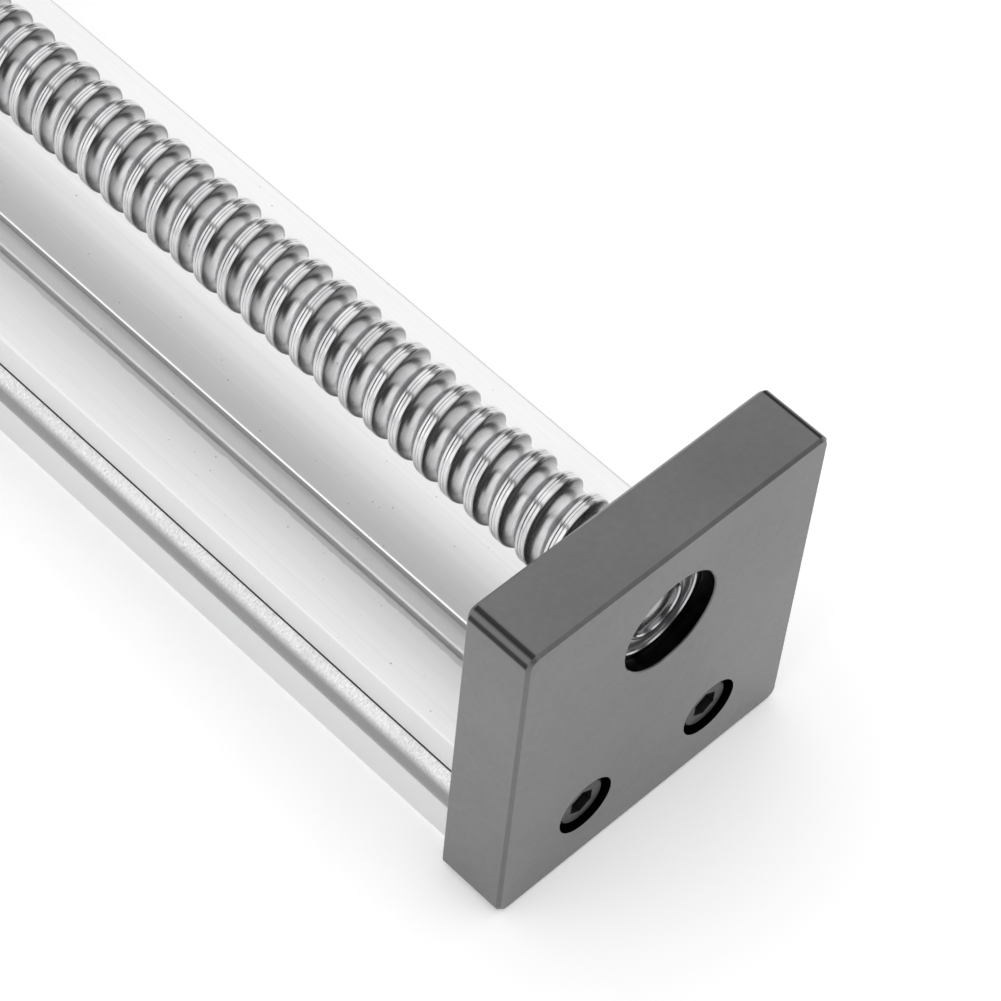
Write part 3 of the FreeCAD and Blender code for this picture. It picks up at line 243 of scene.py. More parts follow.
def stain(material, mask, colour):
    """Mixes a colour into a finish by a mask."""
    tree = material.node_tree
    base = tree.nodes["Principled BSDF"].inputs["Base Color"]
    blend = tree.nodes.new("ShaderNodeMix")
    blend.data_type = "RGBA"
    blend.inputs[7].default_value = (*colour, 1.0)
    tree.links.new(mask, blend.inputs[0])
    tree.links.new(base.links[0].from_socket, blend.inputs[6])
    tree.links.new(blend.outputs[2], base)


def matt(material, mask, colour):
    """Takes a metal finish to a matt colour by a mask."""
    tree = material.node_tree
    stain(material, mask, colour)
    tree.links.new(number(tree, "SUBTRACT", 1.0, mask), tree.nodes["Principled BSDF"].inputs["Metallic"])


def grey(tone):
    """A neutral colour."""
    return tone, tone, tone


def within(tree, value, middle, half):
    """1 where a value is within half of middle."""
    return number(tree, "COMPARE", value, middle, half)


def reach_from(tree, first, second, middle):
    """The distance of a point (first, second) from a middle."""
    squares = [number(tree, "POWER", number(tree, "SUBTRACT", value, centre), 2.0)
               for value, centre in zip((first, second), middle)]
    return number(tree, "SQRT", number(tree, "ADD", *squares))


def blotches(tree, scale, detail=5.0):
    """Noise on the piece's own coordinates, about 0.5, with fine detail."""
    noise = tree.nodes.new("ShaderNodeTexNoise")
    noise.inputs["Scale"].default_value = scale
    noise.inputs["Detail"].default_value = detail
    tree.links.new(tree.nodes.new("ShaderNodeTexCoord").outputs["Object"], noise.inputs["Vector"])
    return noise.outputs["Fac"]


CLEAR_ANODISED = finish("clear_anodised_aluminium", (0.95, 0.95, 0.955), (0.89, 0.89, 0.895), 1.0,
                        (0.38, 0.48), (7.0, 5200.0, 5200.0), bump=0.025, line_share=0.7,
                        speck=(0.30, 0.30, 0.31), speck_share=0.03, speck_scale=1500.0, patch_scale=25.0)
# The slits are matt light grey inside, below their top, and a lip that leans out runs along their inner
# edge.
# Places are distances from the rail's middle plane and heights.
SLIT_MIDDLE, SLIT_HALF, SLIT_TOP, SLIT_DEPTH = 0.01325, 0.00042, 0.02228, 0.0044
SLIT_MATT_GREY = grey(0.85)
LIP_START, LIP_END, LIP_TILT = 0.01254, 0.01276, 0.17
# Painted shade lies on the floor beside the slits, up to an uneven edge, and along the foot of the deck's
# edges
STRIP_SHADE_IN, STRIP_SHADE_OUT, STRIP_SHADE_SOFT, STRIP_SHADE_FOOT = 0.0137, 0.0149, 0.0001, 0.0216
STRIP_SHADE_SCALE, STRIP_SHADE_WAVE, STRIP_PAINTED_SHADE = 450.0, 0.0007, grey(0.72)
DECK_EDGE, EDGE_HALF, EDGE_MIDDLE, EDGE_TALL = 0.0096, 0.0002, 0.0229, 0.0005
DECK_FOOT_PAINTED_SHADE = grey(0.28)
# The rods' seats are in painted shade, and the outer faces carry painted shade, a little darker than the
# top
ROD_MIDDLE, SEAT_RADIUS, SEAT_SHADE = (0.02325, 0.0137), 0.00429, grey(0.05)
SIDE_FACE, SIDE_SOFT, SIDE_PAINTED_SHADE = 0.0247, 0.0002, (0.78, 0.78, 0.785)


def shade_rail(material):
    """Paints shade on the rail by where a point lies in its section, makes the slits matt inside, and
    leans the slits' lips outwards.
    """
    tree = material.node_tree
    _, y, z = place_of(tree)
    side = number(tree, "ABSOLUTE", y)
    slit = number(tree, "MULTIPLY", within(tree, side, SLIT_MIDDLE, SLIT_HALF),
                  within(tree, z, SLIT_TOP - SLIT_DEPTH / 2, SLIT_DEPTH / 2))
    # Painted shade on the floor strip beside each slit, up to an uneven edge
    uneven = number(tree, "MULTIPLY_ADD", blotches(tree, STRIP_SHADE_SCALE), -STRIP_SHADE_WAVE, side)
    strip_shade = number(tree, "MULTIPLY", step(tree, uneven, STRIP_SHADE_OUT, STRIP_SHADE_OUT - STRIP_SHADE_SOFT),
                   number(tree, "MULTIPLY", number(tree, "GREATER_THAN", side, STRIP_SHADE_IN),
                          number(tree, "GREATER_THAN", z, STRIP_SHADE_FOOT)))
    edge = number(tree, "MULTIPLY", within(tree, side, DECK_EDGE, EDGE_HALF),
                  within(tree, z, EDGE_MIDDLE, EDGE_TALL))
    seat = number(tree, "LESS_THAN", reach_from(tree, side, z, ROD_MIDDLE), SEAT_RADIUS)
    # Painted shade: the outer faces a little darker than the top
    stain(material, step(tree, side, SIDE_FACE - SIDE_SOFT, SIDE_FACE + SIDE_SOFT), SIDE_PAINTED_SHADE)
    # Painted shade along the foot of the deck's edges
    stain(material, edge, DECK_FOOT_PAINTED_SHADE)
    stain(material, strip_shade, STRIP_PAINTED_SHADE)
    matt(material, slit, SLIT_MATT_GREY)
    stain(material, seat, SEAT_SHADE)
    beyond = number(tree, "MINIMUM", number(tree, "MAXIMUM", side, LIP_START), LIP_END)
    lean = tree.nodes.new("ShaderNodeBump")
    lean.inputs["Strength"].default_value = 1.0
    lean.inputs["Distance"].default_value = 1.0
    tree.links.new(number(tree, "MULTIPLY", beyond, -LIP_TILT), lean.inputs["Height"])
    normal = tree.nodes["Principled BSDF"].inputs["Normal"]
    tree.links.new(normal.links[0].from_socket, lean.inputs["Normal"])
    tree.links.new(lean.outputs["Normal"], normal)


shade_rail(CLEAR_ANODISED)
dress(CLEAR_ANODISED, "base_rail")

# Guide rods
# Two 8 mm rods of hardened steel, pressed into the rail's sides. They are ground between centres,
# which leaves fine rings round them.

GROUND_ROD = finish("ground_rod_steel", (0.82, 0.82, 0.82), (0.46, 0.46, 0.47), 1.0, (0.24, 0.36),
                    (9000.0, 2200.0, 2200.0), bump=0.1, line_share=0.85, speck=(0.3, 0.3, 0.3),
                    patch_scale=110.0)
# Below their bright top the rods carry painted shade, and a painted shadow runs black along the seats'
# mouths
ROD_SHADE_TOP, ROD_SHADE_FULL, ROD_PAINTED_SHADE = 0.0164, 0.0150, grey(0.28)
MOUTH_IN, MOUTH_OUT, MOUTH_PAINTED_SHADOW = 0.02502, 0.02514, grey(0.04)


def shade_rods(material):
    """Paints shade on the rods by height, and a shadow by their distance from the rail's middle plane at
    the mouths.
    """
    tree = material.node_tree
    _, y, z = place_of(tree)
    # Painted shade: the rods darker below their bright top
    stain(material, step(tree, z, ROD_SHADE_TOP, ROD_SHADE_FULL), ROD_PAINTED_SHADE)
    # Painted shadow, black along the seats' mouths
    stain(material, step(tree, number(tree, "ABSOLUTE", y), MOUTH_OUT, MOUTH_IN), MOUTH_PAINTED_SHADOW)


shade_rods(GROUND_ROD)
dress(GROUND_ROD, "guide_rod_left", "guide_rod_right")

# End plate and drive block
# Square-edged aluminium plates milled all over, bead blasted and anodised dark grey, each held to the
# rail's end by two sunk screws.

DARK_ANODISED = finish("dark_anodised_aluminium", (0.135, 0.135, 0.137), (0.074, 0.074, 0.076), 0.0,
                       (0.19, 0.25), (900.0, 900.0, 900.0), bump=0.03, line_share=0.2,
                       speck=(0.30, 0.30, 0.30), speck_share=0.003, patch_scale=26.0, ior=1.7)
FOOT_SCREW = (0.0123, 0.01195)
IDLE_BORE, SINK, HOLE_ROOM = 0.00852, 0.005, 0.00002
# Painted shade, near black: inside the holes, and on the rounds and bevels
HOLE_PAINTED_SHADE, EDGE_PAINTED_SHADE = grey(0.008), grey(0.012)
# How far the largest part of the normal falls where a round begins and in its middle, and the share of
# painted shade that it keeps from one to the other
ROUND_BEGINS, ROUND_MIDDLE, MIDDLE_SHARE = (0.999, 0.975), (0.90, 0.76), (0.85, 0.1)
# Rounds along X keep all of it. On the others it is uneven.
ALONG_X, PATCHY_SCALE, PATCHY_RANGE, PATCHY_SHARE = (0.2, 0.05), 400.0, (0.3, 0.7), (0.55, 0.8)


def paint_shade(material, mask, colour):
    """Paints shade: takes a finish to a near black that hardly reflects, by a mask."""
    tree = material.node_tree
    metallic = tree.nodes["Principled BSDF"].inputs["Metallic"]
    stain(material, mask, colour)
    if metallic.is_linked:
        mask = number(tree, "MAXIMUM", metallic.links[0].from_socket, mask)
    tree.links.new(mask, metallic)


def shade_holes(material, holes):
    """Paints shade inside round holes along X, each given as its middle (y, z) and its radius."""
    tree = material.node_tree
    _, y, z = place_of(tree)
    inside = None
    for middle, radius in holes:
        hole = number(tree, "LESS_THAN", reach_from(tree, y, z, middle), radius + HOLE_ROOM)
        inside = number(tree, "MAXIMUM", inside, hole) if inside else hole
    paint_shade(material, inside, HOLE_PAINTED_SHADE)


def shade_edges(material):
    """Paints shade on rounded corners and bevels by how far the normal leaves an axis.

    The largest part of the normal is 1 on a flat face and falls on a round. The painted shade is full
    where a round begins, fades towards its middle, and is weaker in patches of noise.
    """
    tree = material.node_tree
    place = tree.nodes.new("ShaderNodeTexCoord")
    split = tree.nodes.new("ShaderNodeSeparateXYZ")
    tree.links.new(place.outputs["Normal"], split.inputs[0])
    x, y, z = (number(tree, "ABSOLUTE", axis) for axis in split.outputs)
    most = number(tree, "MAXIMUM", x, number(tree, "MAXIMUM", y, z))
    begun = step(tree, most, *ROUND_BEGINS)
    middle = step(tree, most, *ROUND_MIDDLE, *MIDDLE_SHARE)
    patchy = number(tree, "MAXIMUM", step(tree, blotches(tree, PATCHY_SCALE), *PATCHY_RANGE, *PATCHY_SHARE),
                  step(tree, x, *ALONG_X))
    # Painted shade on the rounds and bevels
    paint_shade(material, number(tree, "MULTIPLY", patchy, number(tree, "MULTIPLY", begun, middle)), EDGE_PAINTED_SHADE)


shade_edges(DARK_ANODISED)
PLATE_FINISH = DARK_ANODISED.copy()
PLATE_FINISH.name = "bored_anodised_aluminium"
shade_holes(PLATE_FINISH, [((0.0, SCREW_HEIGHT), IDLE_BORE), (FOOT_SCREW, SINK),
                            ((-FOOT_SCREW[0], FOOT_SCREW[1]), SINK)])
dress(PLATE_FINISH, "idle_end_plate")
dress(DARK_ANODISED, "drive_end_block", "bearing_cover")

# Socket head cap screws
# Alloy steel screws, black oxide and oiled, in every size that the module uses.

BLACK_OXIDE = finish("black_oxide_steel", (0.045, 0.045, 0.048), (0.03, 0.03, 0.032), 0.5, (0.28, 0.45),
                     (700.0, 700.0, 700.0), bump=0.06, speck=(0.25, 0.25, 0.25), speck_share=0.03,
                     speck_scale=1600.0)
dress(BLACK_OXIDE, "idle_plate_screws", "drive_block_screws", "housing_screws", "bearing_cover_screws",
      "table_screws", "nut_screws", "coupling_clamp_screws", "bearing_lock_nut")

# Bearings
# Deep groove ball bearings: through-hardened rings, ground and polished, with shields pressed from
# sheet steel.

BEARING_STEEL = finish("bearing_steel", (0.60, 0.60, 0.61), (0.44, 0.44, 0.45), 1.0, (0.12, 0.26),
                       (5000.0, 5000.0, 1.0), bump=0.02, line_share=0.8, patch_scale=120.0, turned=True)
dress(BEARING_STEEL, "idle_bearing_outer_ring", "idle_bearing_inner_ring", "drive_bearing_outer_rings",
      "drive_bearing_inner_rings")
SHIELD_STEEL = finish("shield_steel", (0.50, 0.50, 0.51), (0.36, 0.36, 0.37), 1.0, (0.26, 0.38),
                      (2600.0, 2600.0, 1.0), bump=0.01, line_share=0.6, patch_scale=150.0, turned=True)
dress(SHIELD_STEEL, "drive_bearing_shields")

# The shield's section from its inner rim to its outer one: the share of the way out, the height over the
# end face and how far a notch is pushed down there, both in millimetres
SECTION_SHARE = np.array([0.0, 0.03, 0.07, 0.50, 0.72, 0.76, 0.81, 0.85, 0.88, 0.915, 0.945, 0.985, 1.0])
SECTION_HEIGHT = np.array([-0.2, -0.05, 0, -0.02, -0.04, 0, 0, -0.12, -0.14, -0.05, -0.05, -0.17, -0.2])
SECTION_CRIMP = np.array([0, 0, 0, 0, 0, 0, 0, 0, 0, 0.14, 0.14, 0.03, 0])
MILLIMETRE = 0.001
SHEET, BACK_SINK = 0.0002, 0.00004
NOTCHES, NOTCH_STEPS, PUSHED_STEPS = 17, 12, 6


def pressed_ring(face, side, inner, outer):
    """One pressed shield, closed: its end face looks along side, and its rim is crimped at the notches.

    A point at radius r and angle a stands out from the face by the section's height at r, less the
    crimp at r where a lies in a notch. The back is the front moved in by the sheet's thickness.
    """
    steps = NOTCHES * NOTCH_STEPS
    angle = np.arange(steps) / steps * 2 * math.pi
    pushed = (np.arange(steps) % NOTCH_STEPS < PUSHED_STEPS) * 1.0
    front = (SECTION_HEIGHT[:, None] - SECTION_CRIMP[:, None] * pushed[None, :]) * MILLIMETRE
    stand = np.concatenate([front, np.minimum(front, -BACK_SINK)[::-1] - SHEET])
    radius = inner + (outer - inner) * np.concatenate([SECTION_SHARE, SECTION_SHARE[::-1]])
    y = radius[:, None] * np.cos(angle)
    z = radius[:, None] * np.sin(angle) + SCREW_HEIGHT
    points = np.stack([face + side * stand, y, z], axis=-1)
    row = np.arange(len(radius))[:, None] * steps
    next_row = np.roll(row, -1)
    column = np.arange(steps)[None, :]
    next_column = np.roll(column, -1)
    faces = np.stack([row + column, row + next_column, next_row + next_column, next_row + column], axis=-1)
    return points.reshape(-1, 3), faces.reshape(-1, 4)


# Points nearer than this are one point, and a face with a side shorter than this is no face
DOUBLE, DEGENERATE = 2e-7, 1e-7


def new_piece(name, parts, material, sharp=35.0):
    """One object from several surfaces, with doubles merged, holes filled and faces turned outwards.

    Edges between faces that turn by more than sharp degrees stay sharp.
    """
    mesh = bmesh.new()
    for points, faces in parts:
        made = [mesh.verts.new(point) for point in points.tolist()]
        for face in faces.tolist():
            mesh.faces.new([made[corner] for corner in face])
    bmesh.ops.remove_doubles(mesh, verts=mesh.verts[:], dist=DOUBLE)
    bmesh.ops.dissolve_degenerate(mesh, edges=mesh.edges[:], dist=DEGENERATE)
    rims = [edge for edge in mesh.edges if edge.is_boundary]
    bmesh.ops.holes_fill(mesh, edges=rims, sides=0)
    bmesh.ops.recalc_face_normals(mesh, faces=mesh.faces[:])
    data = bpy.data.meshes.new(name)
    mesh.to_mesh(data)
    mesh.free()
    data.shade_smooth()
    data.set_sharp_from_angle(angle=math.radians(sharp))
    data.materials.append(material)
    piece = bpy.data.objects.new(name, data)
    bpy.context.scene.collection.objects.link(piece)
    return piece


shield_low, shield_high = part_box("idle_bearing_shields")
SHIELD_INNER, SHIELD_OUTER = 0.0055, 0.00762
shields = new_piece("crimped_idle_shields", [
    pressed_ring(shield_high[0], 1, SHIELD_INNER, SHIELD_OUTER),
    pressed_ring(shield_low[0], -1, SHIELD_INNER, SHIELD_OUTER),
], SHIELD_STEEL)
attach(shields, "rail")
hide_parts("idle_bearing_shields")

# Ball screw
# A rolled right-hand screw, 14 mm nominal with a 5 mm lead: a round-bottomed groove for the balls and
# a narrow land with the seam that rolling leaves along its middle. Its ends are turned down.

LEAD = 0.005
CREST = 0.0069
GROOVE_DEPTH = 0.00112
BALL_GROOVE = 0.00166
EDGE_TILT = math.radians(62.0)
EDGE_ROUND = GROOVE_DEPTH / (1 - math.cos(EDGE_TILT)) - BALL_GROOVE
GROOVE_PLACE = -0.00035
STEPS_ROUND, STEPS_ACROSS = 56, 15
THREAD_START, THREAD_END = -0.1485, 0.1485
# The seam's distance from the land's edge, its reach to both sides, its depth and its rims' depth, and
# the same of the faint line, whose distance is from the seam
SEAM_INSET, SEAM_REACH, SEAM_DEPTH, RIM_DEPTH = 0.00032, (0.00007, 0.00006), 0.0001, 0.00001
LINE_INSET, LINE_REACH, LINE_DEPTH, LINE_BLACK = 0.00046, 0.00005, 0.00003, 0.4
# How much painted shade the groove's wall carries at four tilts, and over the rounded edges after and
# before it
WALL_SHADE_TILT, WALL_SHADE_SHARE = [-EDGE_TILT, -0.2, 0.3, EDGE_TILT], [1.0, 0.3, 0.0, 0.4]
WALL_SHADE_AFTER, WALL_SHADE_BEFORE = [0.35, 0.2, 0.05, 0.0], [0.0, 0.3, 0.6, 0.75]


def thread_profile():
    """One pitch of the screw: places along it, their radii, and how much of each is land, seam and painted
    wall shade.

    The groove is an arc of BALL_GROOVE's radius up to EDGE_TILT, and a rounded edge of EDGE_ROUND's
    radius leads from there to the flat land. The seam is a narrow notch in the land, with a fainter
    line beside it. Painted shade is darkest on the groove's walls.
    """
    tilt = np.linspace(-EDGE_TILT, EDGE_TILT, STEPS_ACROSS)
    groove = BALL_GROOVE * np.sin(tilt)
    groove_radius = CREST - GROOVE_DEPTH + BALL_GROOVE * (1 - np.cos(tilt))
    ease = EDGE_TILT * np.array([0.75, 0.5, 0.25, 0.0])
    edge = (BALL_GROOVE + EDGE_ROUND) * math.sin(EDGE_TILT)
    rounded = edge - EDGE_ROUND * np.sin(ease)
    rounded_radius = CREST - EDGE_ROUND * (1 - np.cos(ease))
    seam = edge + SEAM_INSET
    faint = seam + LINE_INSET
    land = np.array([seam - SEAM_REACH[0], seam, seam + SEAM_REACH[1],
                     faint - LINE_REACH, faint, faint + LINE_REACH])
    sunk = np.array([RIM_DEPTH, SEAM_DEPTH, RIM_DEPTH, 0.0, LINE_DEPTH, 0.0])
    along = np.concatenate([groove, rounded, land, LEAD - rounded[::-1]])
    radius = np.concatenate([groove_radius, rounded_radius, CREST - sunk, rounded_radius[::-1]])
    level = 1 - ease / EDGE_TILT
    polished = np.concatenate([0 * groove, level, 1 + 0 * land, level[::-1]])
    black = np.concatenate([0 * groove, 0 * ease, [0.0, 1.0, 0.0, 0.0, LINE_BLACK, 0.0], 0 * ease])
    wall_shade = np.concatenate([np.interp(tilt, WALL_SHADE_TILT, WALL_SHADE_SHARE), WALL_SHADE_AFTER, 0 * land, WALL_SHADE_BEFORE])
    return along, radius, {"land": polished, "seam": black, "wall_shade": wall_shade}


# The radius at which the thread starts at its ends, below the groove's bottom, and how fast it rises
END_SINK, END_RISE = 0.0002, 1.2


def helical_thread():
    """The threaded length: the profile carried along a right-hand helix and cut off at both ends.

    A point of the profile at place s turns by angle a and moves along by a's share of the lead. Beyond
    the ends it stays on the end's plane at the core's radius, where doubles merge and the hole is
    filled.
    """
    along, radius, _ = thread_profile()
    first = math.floor(THREAD_START / LEAD) - 1
    last = math.ceil(THREAD_END / LEAD) + 1
    count = (last - first) * STEPS_ROUND + 1
    turn = (first + np.arange(count) / STEPS_ROUND) * 2 * math.pi
    along = np.append(along, along[0] + LEAD)
    radius = np.append(radius, radius[0])
    x = GROOVE_PLACE + turn[:, None] / (2 * math.pi) * LEAD + along[None, :]
    core = CREST - GROOVE_DEPTH - END_SINK
    x = np.clip(x, THREAD_START, THREAD_END)
    room = np.minimum(x - THREAD_START, THREAD_END - x)
    r = np.minimum(radius[None, :], core + room * END_RISE)
    angle = np.broadcast_to(turn[:, None], x.shape)
    points = np.stack([x, r * np.cos(angle), r * np.sin(angle) + SCREW_HEIGHT], axis=-1)
    wide = points.shape[1]
    rows = np.arange(count - 1)[:, None] * wide
    cols = np.arange(wide - 1)[None, :]
    corner = rows + cols
    faces = np.stack([corner, corner + 1, corner + wide + 1, corner + wide], axis=-1)
    return points.reshape(-1, 3), faces.reshape(-1, 4)


def turned_surface(profile, centre, steps=64):
    """A profile of (along X, radius) points turned about a line through centre, closed on its axis."""
    profile = np.array(profile)
    angle = np.arange(steps) / steps * 2 * math.pi
    x = np.broadcast_to(profile[:, 0, None], (len(profile), steps))
    y = profile[:, 1, None] * np.cos(angle)
    z = profile[:, 1, None] * np.sin(angle)
    points = np.stack([x, y, z], axis=-1).reshape(-1, 3) + np.array(centre)
    rows = np.arange(len(profile) - 1)[:, None] * steps
    cols = np.arange(steps)[None, :]
    nxt = (cols + 1) % steps
    faces = np.stack([rows + cols, rows + nxt, rows + steps + nxt, rows + steps + cols], axis=-1)
    return points, faces.reshape(-1, 4)


# Radii of the turned ends, then the places along X at which they meet
TAIL, JOURNAL, COLLAR = 0.004, 0.005, 0.00575
IDLE_COLLAR, IDLE_JOURNAL, CENTRE_HOLE = 0.00525, 0.0045, 0.0015
TAIL_END, TAIL_FULL, TAIL_START, COLLAR_START = -0.19399, -0.1936, -0.18, -0.1556
IDLE_START, IDLE_END = 0.1538, 0.1579
BEVEL = 0.0004


def screw_ends():
    """The turned ends: collar, journal and coupling tail, and the idle collar and journal.

    Each is an outline of (along X, radius) points, and reaches a bevel's width into the thread.
    """
    drive = [
        (TAIL_END, 0.0), (TAIL_END, TAIL - BEVEL), (TAIL_FULL, TAIL), (TAIL_START, TAIL),
        (TAIL_START + BEVEL, JOURNAL), (COLLAR_START, JOURNAL), (COLLAR_START, COLLAR),
        (THREAD_START + BEVEL, COLLAR), (THREAD_START + BEVEL, 0.0),
    ]
    idle = [
        (THREAD_END - BEVEL, 0.0), (THREAD_END - BEVEL, IDLE_COLLAR), (IDLE_START, IDLE_COLLAR),
        (IDLE_START, IDLE_JOURNAL), (IDLE_END - BEVEL, IDLE_JOURNAL), (IDLE_END, IDLE_JOURNAL - BEVEL),
        (IDLE_END, CENTRE_HOLE), (IDLE_END - CENTRE_HOLE, 0.0),
    ]
    return [turned_surface(outline, (0, 0, SCREW_HEIGHT)) for outline in (drive, idle)]


ROLLED_SCREW = finish("rolled_screw_steel", (0.76, 0.76, 0.77), (0.52, 0.52, 0.53), 1.0, (0.20, 0.32),
                      (5200.0, 160.0, 160.0), bump=0.04, speck=(0.06, 0.06, 0.06), speck_share=0.06,
                      speck_scale=1300.0, patch_scale=260.0)
# How much land, seam and painted wall shade the turned ends have, and how far they reach into the thread
END_MARKS, END_REACH, CORE_SINK = {"land": 0.3, "seam": 0.0, "wall_shade": 0.5}, 0.0005, 0.00005


def mark_rolling(piece):
    """Writes three values on the screw's points: land, seam and wall shade, each 1 where it is strongest.

    A point's place in the pitch is its x less its angle's share of the lead. The turned ends have one
    value of each.
    """
    data = piece.data
    points = np.empty(len(data.vertices) * 3)
    data.vertices.foreach_get("co", points)
    x, y, z = points.reshape(-1, 3).T
    z = z - SCREW_HEIGHT
    along, _, marks = thread_profile()
    place = x - GROOVE_PLACE - LEAD * np.arctan2(z, y) / (2 * math.pi)
    place = (place - along[0]) % LEAD + along[0]
    core = CREST - GROOVE_DEPTH - CORE_SINK
    plain = (np.hypot(y, z) < core) | (x < THREAD_START + END_REACH) | (x > THREAD_END - END_REACH)
    for name, values in marks.items():
        found = np.interp(place, np.append(along, along[0] + LEAD), np.append(values, values[0]))
        layer = data.attributes.new(name, "FLOAT", "POINT")
        layer.data.foreach_set("value", np.where(plain, END_MARKS[name], found))


# Painted shade on the groove's walls; the seam's black is its own
LAND_ROUGHNESS, WALL_PAINTED_SHADE, SEAM_BLACK = 0.11, grey(0.15), grey(0.02)


def roll(material):
    """Polishes the land, which the rolling dies have pressed, paints shade on the groove's walls and
    darkens the seam.
    """
    tree = material.node_tree
    rough = tree.nodes["Principled BSDF"].inputs["Roughness"]
    land = tree.nodes.new("ShaderNodeAttribute")
    land.attribute_name = "land"
    polish = tree.nodes.new("ShaderNodeMix")
    polish.inputs[3].default_value = LAND_ROUGHNESS
    tree.links.new(land.outputs["Fac"], polish.inputs[0])
    tree.links.new(rough.links[0].from_socket, polish.inputs[2])
    tree.links.new(polish.outputs[0], rough)
    for name, colour in (("wall_shade", WALL_PAINTED_SHADE), ("seam", SEAM_BLACK)):
        mark = tree.nodes.new("ShaderNodeAttribute")
        mark.attribute_name = name
        stain(material, mark.outputs["Fac"], colour)


roll(ROLLED_SCREW)
screw = new_piece("threaded_screw", [helical_thread(), *screw_ends()], ROLLED_SCREW, sharp=50.0)
mark_rolling(screw)
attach(screw, "screw")
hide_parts("ball_screw")

# Coupling and its housing
# Two clamping hubs of turned aluminium and a red elastomer spider between their jaws, inside a square
# housing of dark anodised aluminium that carries the motor's face.

SPIDER_RUBBER = finish("spider_rubber", (0.42, 0.035, 0.025), (0.36, 0.03, 0.022), 0.0, (0.45, 0.6),
                       (900.0, 900.0, 900.0), bump=0.05)
TURNED_HUB = finish("turned_hub_aluminium", (0.82, 0.82, 0.83), (0.76, 0.76, 0.77), 1.0, (0.22, 0.36),
                    (2600.0, 2600.0, 1.0), bump=0.015, turned=True)
dress(SPIDER_RUBBER, "coupling_spider")
dress(TURNED_HUB, "coupling_hub_screw_side", "coupling_hub_motor_side")
dress(DARK_ANODISED, "coupling_housing")

# Carriage
# A block of dark anodised aluminium with a wide foot, and the plate that carries the load.

dress(DARK_ANODISED, "carriage_block", "table_plate")

# Ball nut
# A ground steel nut with a flange, two moulded end wipers and a brass grease nipple.

GROUND_NUT = finish("ground_nut_steel", (0.60, 0.60, 0.61), (0.52, 0.52, 0.53), 1.0, (0.20, 0.34),
                    (2000.0, 200.0, 200.0), bump=0.06)
WIPER_PLASTIC = finish("wiper_plastic", (0.05, 0.05, 0.05), (0.04, 0.04, 0.04), 0.0, (0.4, 0.55),
                       (700.0, 700.0, 700.0), bump=0.05)
NIPPLE_BRASS = finish("nipple_brass", (0.72, 0.53, 0.22), (0.62, 0.44, 0.18), 1.0, (0.2, 0.35),
                      (600.0, 600.0, 2400.0), bump=0.05)
dress(GROUND_NUT, "ball_nut")
dress(WIPER_PLASTIC, "nut_wipers")
dress(NIPPLE_BRASS, "grease_nipple")

# Rollers
# Grooved outer rings that run on the rods, ground about their upright axes, with shields in both faces.

ROLLER_STEEL = finish("roller_steel", (0.62, 0.62, 0.63), (0.50, 0.50, 0.51), 1.0, (0.14, 0.26),
                      (250.0, 250.0, 4200.0), bump=0.03, line_share=0.7, patch_scale=120.0)
ROLLER_SHIELD = finish("roller_shield_steel", (0.52, 0.52, 0.53), (0.42, 0.42, 0.43), 1.0, (0.24, 0.36),
                       (900.0, 900.0, 900.0), bump=0.02)
dress(ROLLER_STEEL, "roller_left_rear", "roller_left_front", "roller_right_rear", "roller_right_front",
      "roller_inner_rings")
dress(ROLLER_SHIELD, "roller_shields")

# Roller axles
# Bolts, nuts, spacers and eccentric bushes, bright zinc plated.

ZINC_PLATED = finish("zinc_plated_steel", (0.70, 0.71, 0.72), (0.62, 0.63, 0.64), 1.0, (0.3, 0.42),
                     (700.0, 700.0, 2200.0), bump=0.02)
dress(ZINC_PLATED, "roller_axle_bolts", "axle_nuts", "roller_spacers", "eccentric_bushes")

# Floor, light and camera
# A pale floor, soft light from above and from the front, and the camera at the photo's angle.

FLOOR_HALF, FLOOR_LEVEL = 6.0, -0.0002
FLOOR_TONE, FLOOR_ROUGHNESS, FLOOR_LIFT = grey(0.95), 0.9, 0.3


def floor():
    """A large flat sheet just below the module. What the light leaves short of white is added to it
    for the camera and for what metal and glass show, and the shadow stays."""
    corners = [(x * FLOOR_HALF, y * FLOOR_HALF, FLOOR_LEVEL)
               for x, y in ((-1, -1), (1, -1), (1, 1), (-1, 1))]
    data = bpy.data.meshes.new("floor")
    data.from_pydata(corners, [], [(0, 1, 2, 3)])
    piece = bpy.data.objects.new("floor", data)
    bpy.context.scene.collection.objects.link(piece)
    material = bpy.data.materials.new("floor_white")
    material.use_nodes = True
    shader = material.node_tree.nodes["Principled BSDF"]
    shader.inputs["Base Color"].default_value = (*FLOOR_TONE, 1.0)
    shader.inputs["Roughness"].default_value = FLOOR_ROUGHNESS
    shader.inputs["Specular IOR Level"].default_value = 0.0
    shader.inputs["Emission Color"].default_value = (1.0, 1.0, 1.0, 1.0)
    tree = material.node_tree
    path = tree.nodes.new("ShaderNodeLightPath")
    shown = path.outputs["Is Camera Ray"]
    for ray in ("Is Glossy Ray", "Is Transmission Ray"):
        shown = number(tree, "MAXIMUM", shown, path.outputs[ray])
    tree.links.new(number(tree, "MULTIPLY", shown, FLOOR_LIFT), shader.inputs["Emission Strength"])
    data.materials.append(material)


floor()

# Each soft box's angles from straight up, its slopes along the rail, and its strength. Its edges are
# soft over an angle in radians and over a slope.
SOFT_BOXES = [((-16.0, 55.0), (-1.25, 2.2), 1.12), ((-95.0, -25.0), (-1.05, 0.28), 1.3)]
BOX_EDGE = (0.09, 0.22)
# The room's pairs are a direction's x and the strength there, first at the far end. The white backdrop
# ends between two values of a direction's z.
ROOM_FAR, ROOM_NEAR = (-0.45, 0.45), (0.35, 0.08)
BACKDROP_TOP = (0.05, 0.16)


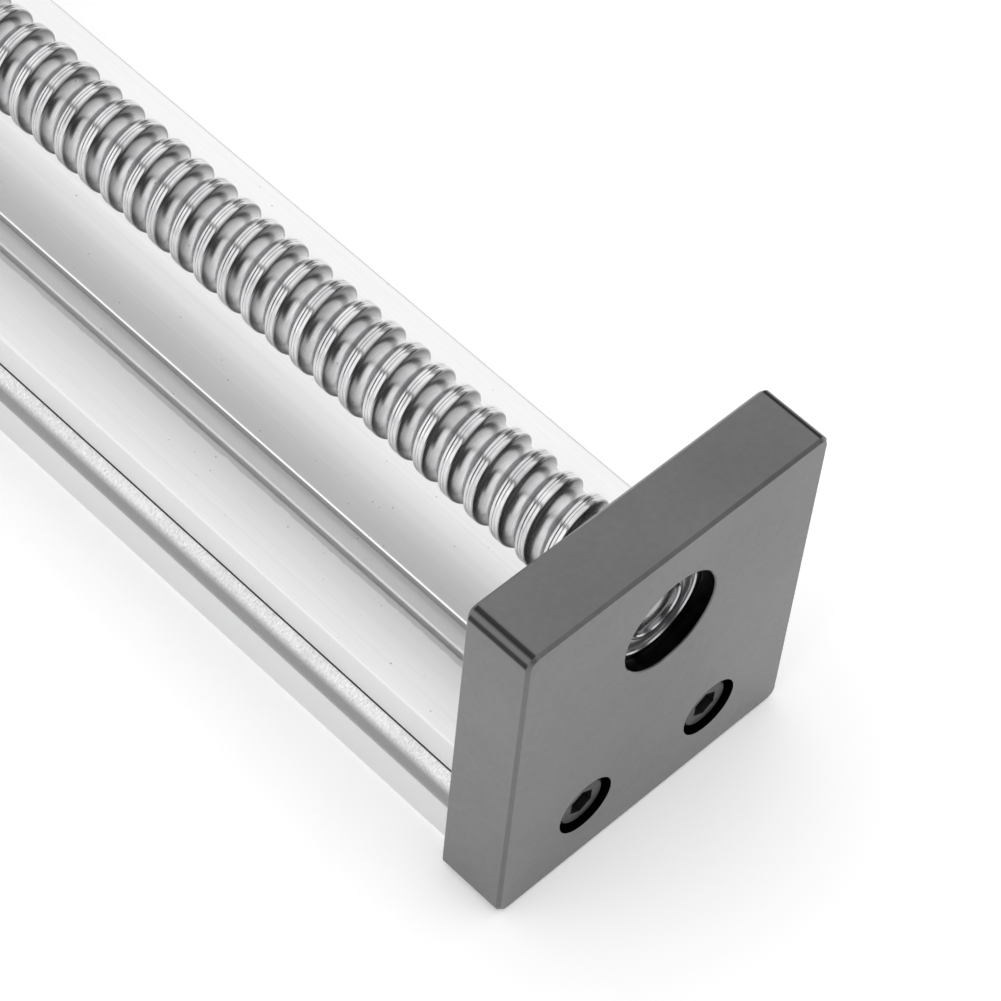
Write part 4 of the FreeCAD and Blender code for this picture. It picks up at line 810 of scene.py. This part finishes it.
def studio_world():
    """Two long soft boxes, above the rail and in front of it, in a dim room with a white backdrop.

    A direction is read as its angle about the rail's axis, from straight up, and its slope along the
    rail. Each box is a band of angles times a band of slopes, with soft edges, and the room between
    them gets darker towards the idle end. The backdrop is white to every ray, so metal shows the
    background that the camera sees.
    """
    world = bpy.data.worlds.new("studio")
    bpy.context.scene.world = world
    world.use_nodes = True
    tree = world.node_tree
    place = tree.nodes.new("ShaderNodeTexCoord")
    split = tree.nodes.new("ShaderNodeSeparateXYZ")
    tree.links.new(place.outputs["Generated"], split.inputs[0])
    x, y, z = split.outputs
    angle = number(tree, "ARCTAN2", y, z)
    across = number(tree, "SQRT", number(tree, "ADD", number(tree, "MULTIPLY", y, y),
                                         number(tree, "MULTIPLY", z, z)))
    slope = number(tree, "DIVIDE", x, across)

    def band(value, low, high, soft):
        return number(tree, "MULTIPLY", step(tree, value, low - soft, low + soft),
                      step(tree, value, high - soft, high + soft, 1.0, 0.0))

    def mixed(one, level, share):
        node = tree.nodes.new("ShaderNodeMix")
        tree.links.new(share, node.inputs[0])
        tree.links.new(one, node.inputs[2])
        node.inputs[3].default_value = level
        return node.outputs[0]

    strength = step(tree, x, ROOM_FAR[0], ROOM_NEAR[0], ROOM_FAR[1], ROOM_NEAR[1])
    for angles, slopes, level in SOFT_BOXES:
        low, high = (math.radians(edge) for edge in angles)
        box = number(tree, "MULTIPLY", band(angle, low, high, BOX_EDGE[0]),
                     band(slope, *slopes, BOX_EDGE[1]))
        strength = mixed(strength, level, box)
    strength = mixed(strength, 1.0, step(tree, z, *BACKDROP_TOP, 1.0, 0.0))
    tree.links.new(strength, tree.nodes["Background"].inputs["Strength"])
    tree.nodes["Background"].inputs["Color"].default_value = (1.0, 1.0, 1.0, 1.0)


studio_world()

# Where the camera stands, and its three axes: to its right, up, and back towards it. Its lens is for a
# sensor 36 mm wide.
CAMERA_PLACE = Vector((0.3434, -0.2490, 0.4665))
CAMERA_RIGHT = Vector((0.69659, 0.71428, 0.06759))
CAMERA_UP = Vector((-0.59776, 0.52568, 0.60527))
CAMERA_BACK = Vector((0.39680, -0.46202, 0.79315))
LENS, SENSOR, NEAREST, FARTHEST = 141.35, 36.0, 0.01, 50.0


def photo_camera():
    """The photo's view: a long lens above the idle end, looking back along the rail."""
    data = bpy.data.cameras.new("photo_camera")
    data.lens = LENS
    data.sensor_width = SENSOR
    data.clip_start = NEAREST
    data.clip_end = FARTHEST
    thing = bpy.data.objects.new("photo_camera", data)
    turn = Matrix((CAMERA_RIGHT, CAMERA_UP, CAMERA_BACK)).transposed().to_4x4()
    turn.translation = CAMERA_PLACE
    thing.matrix_world = turn
    bpy.context.scene.collection.objects.link(thing)
    bpy.context.scene.camera = thing


photo_camera()
bpy.context.scene.view_settings.view_transform = "Standard"
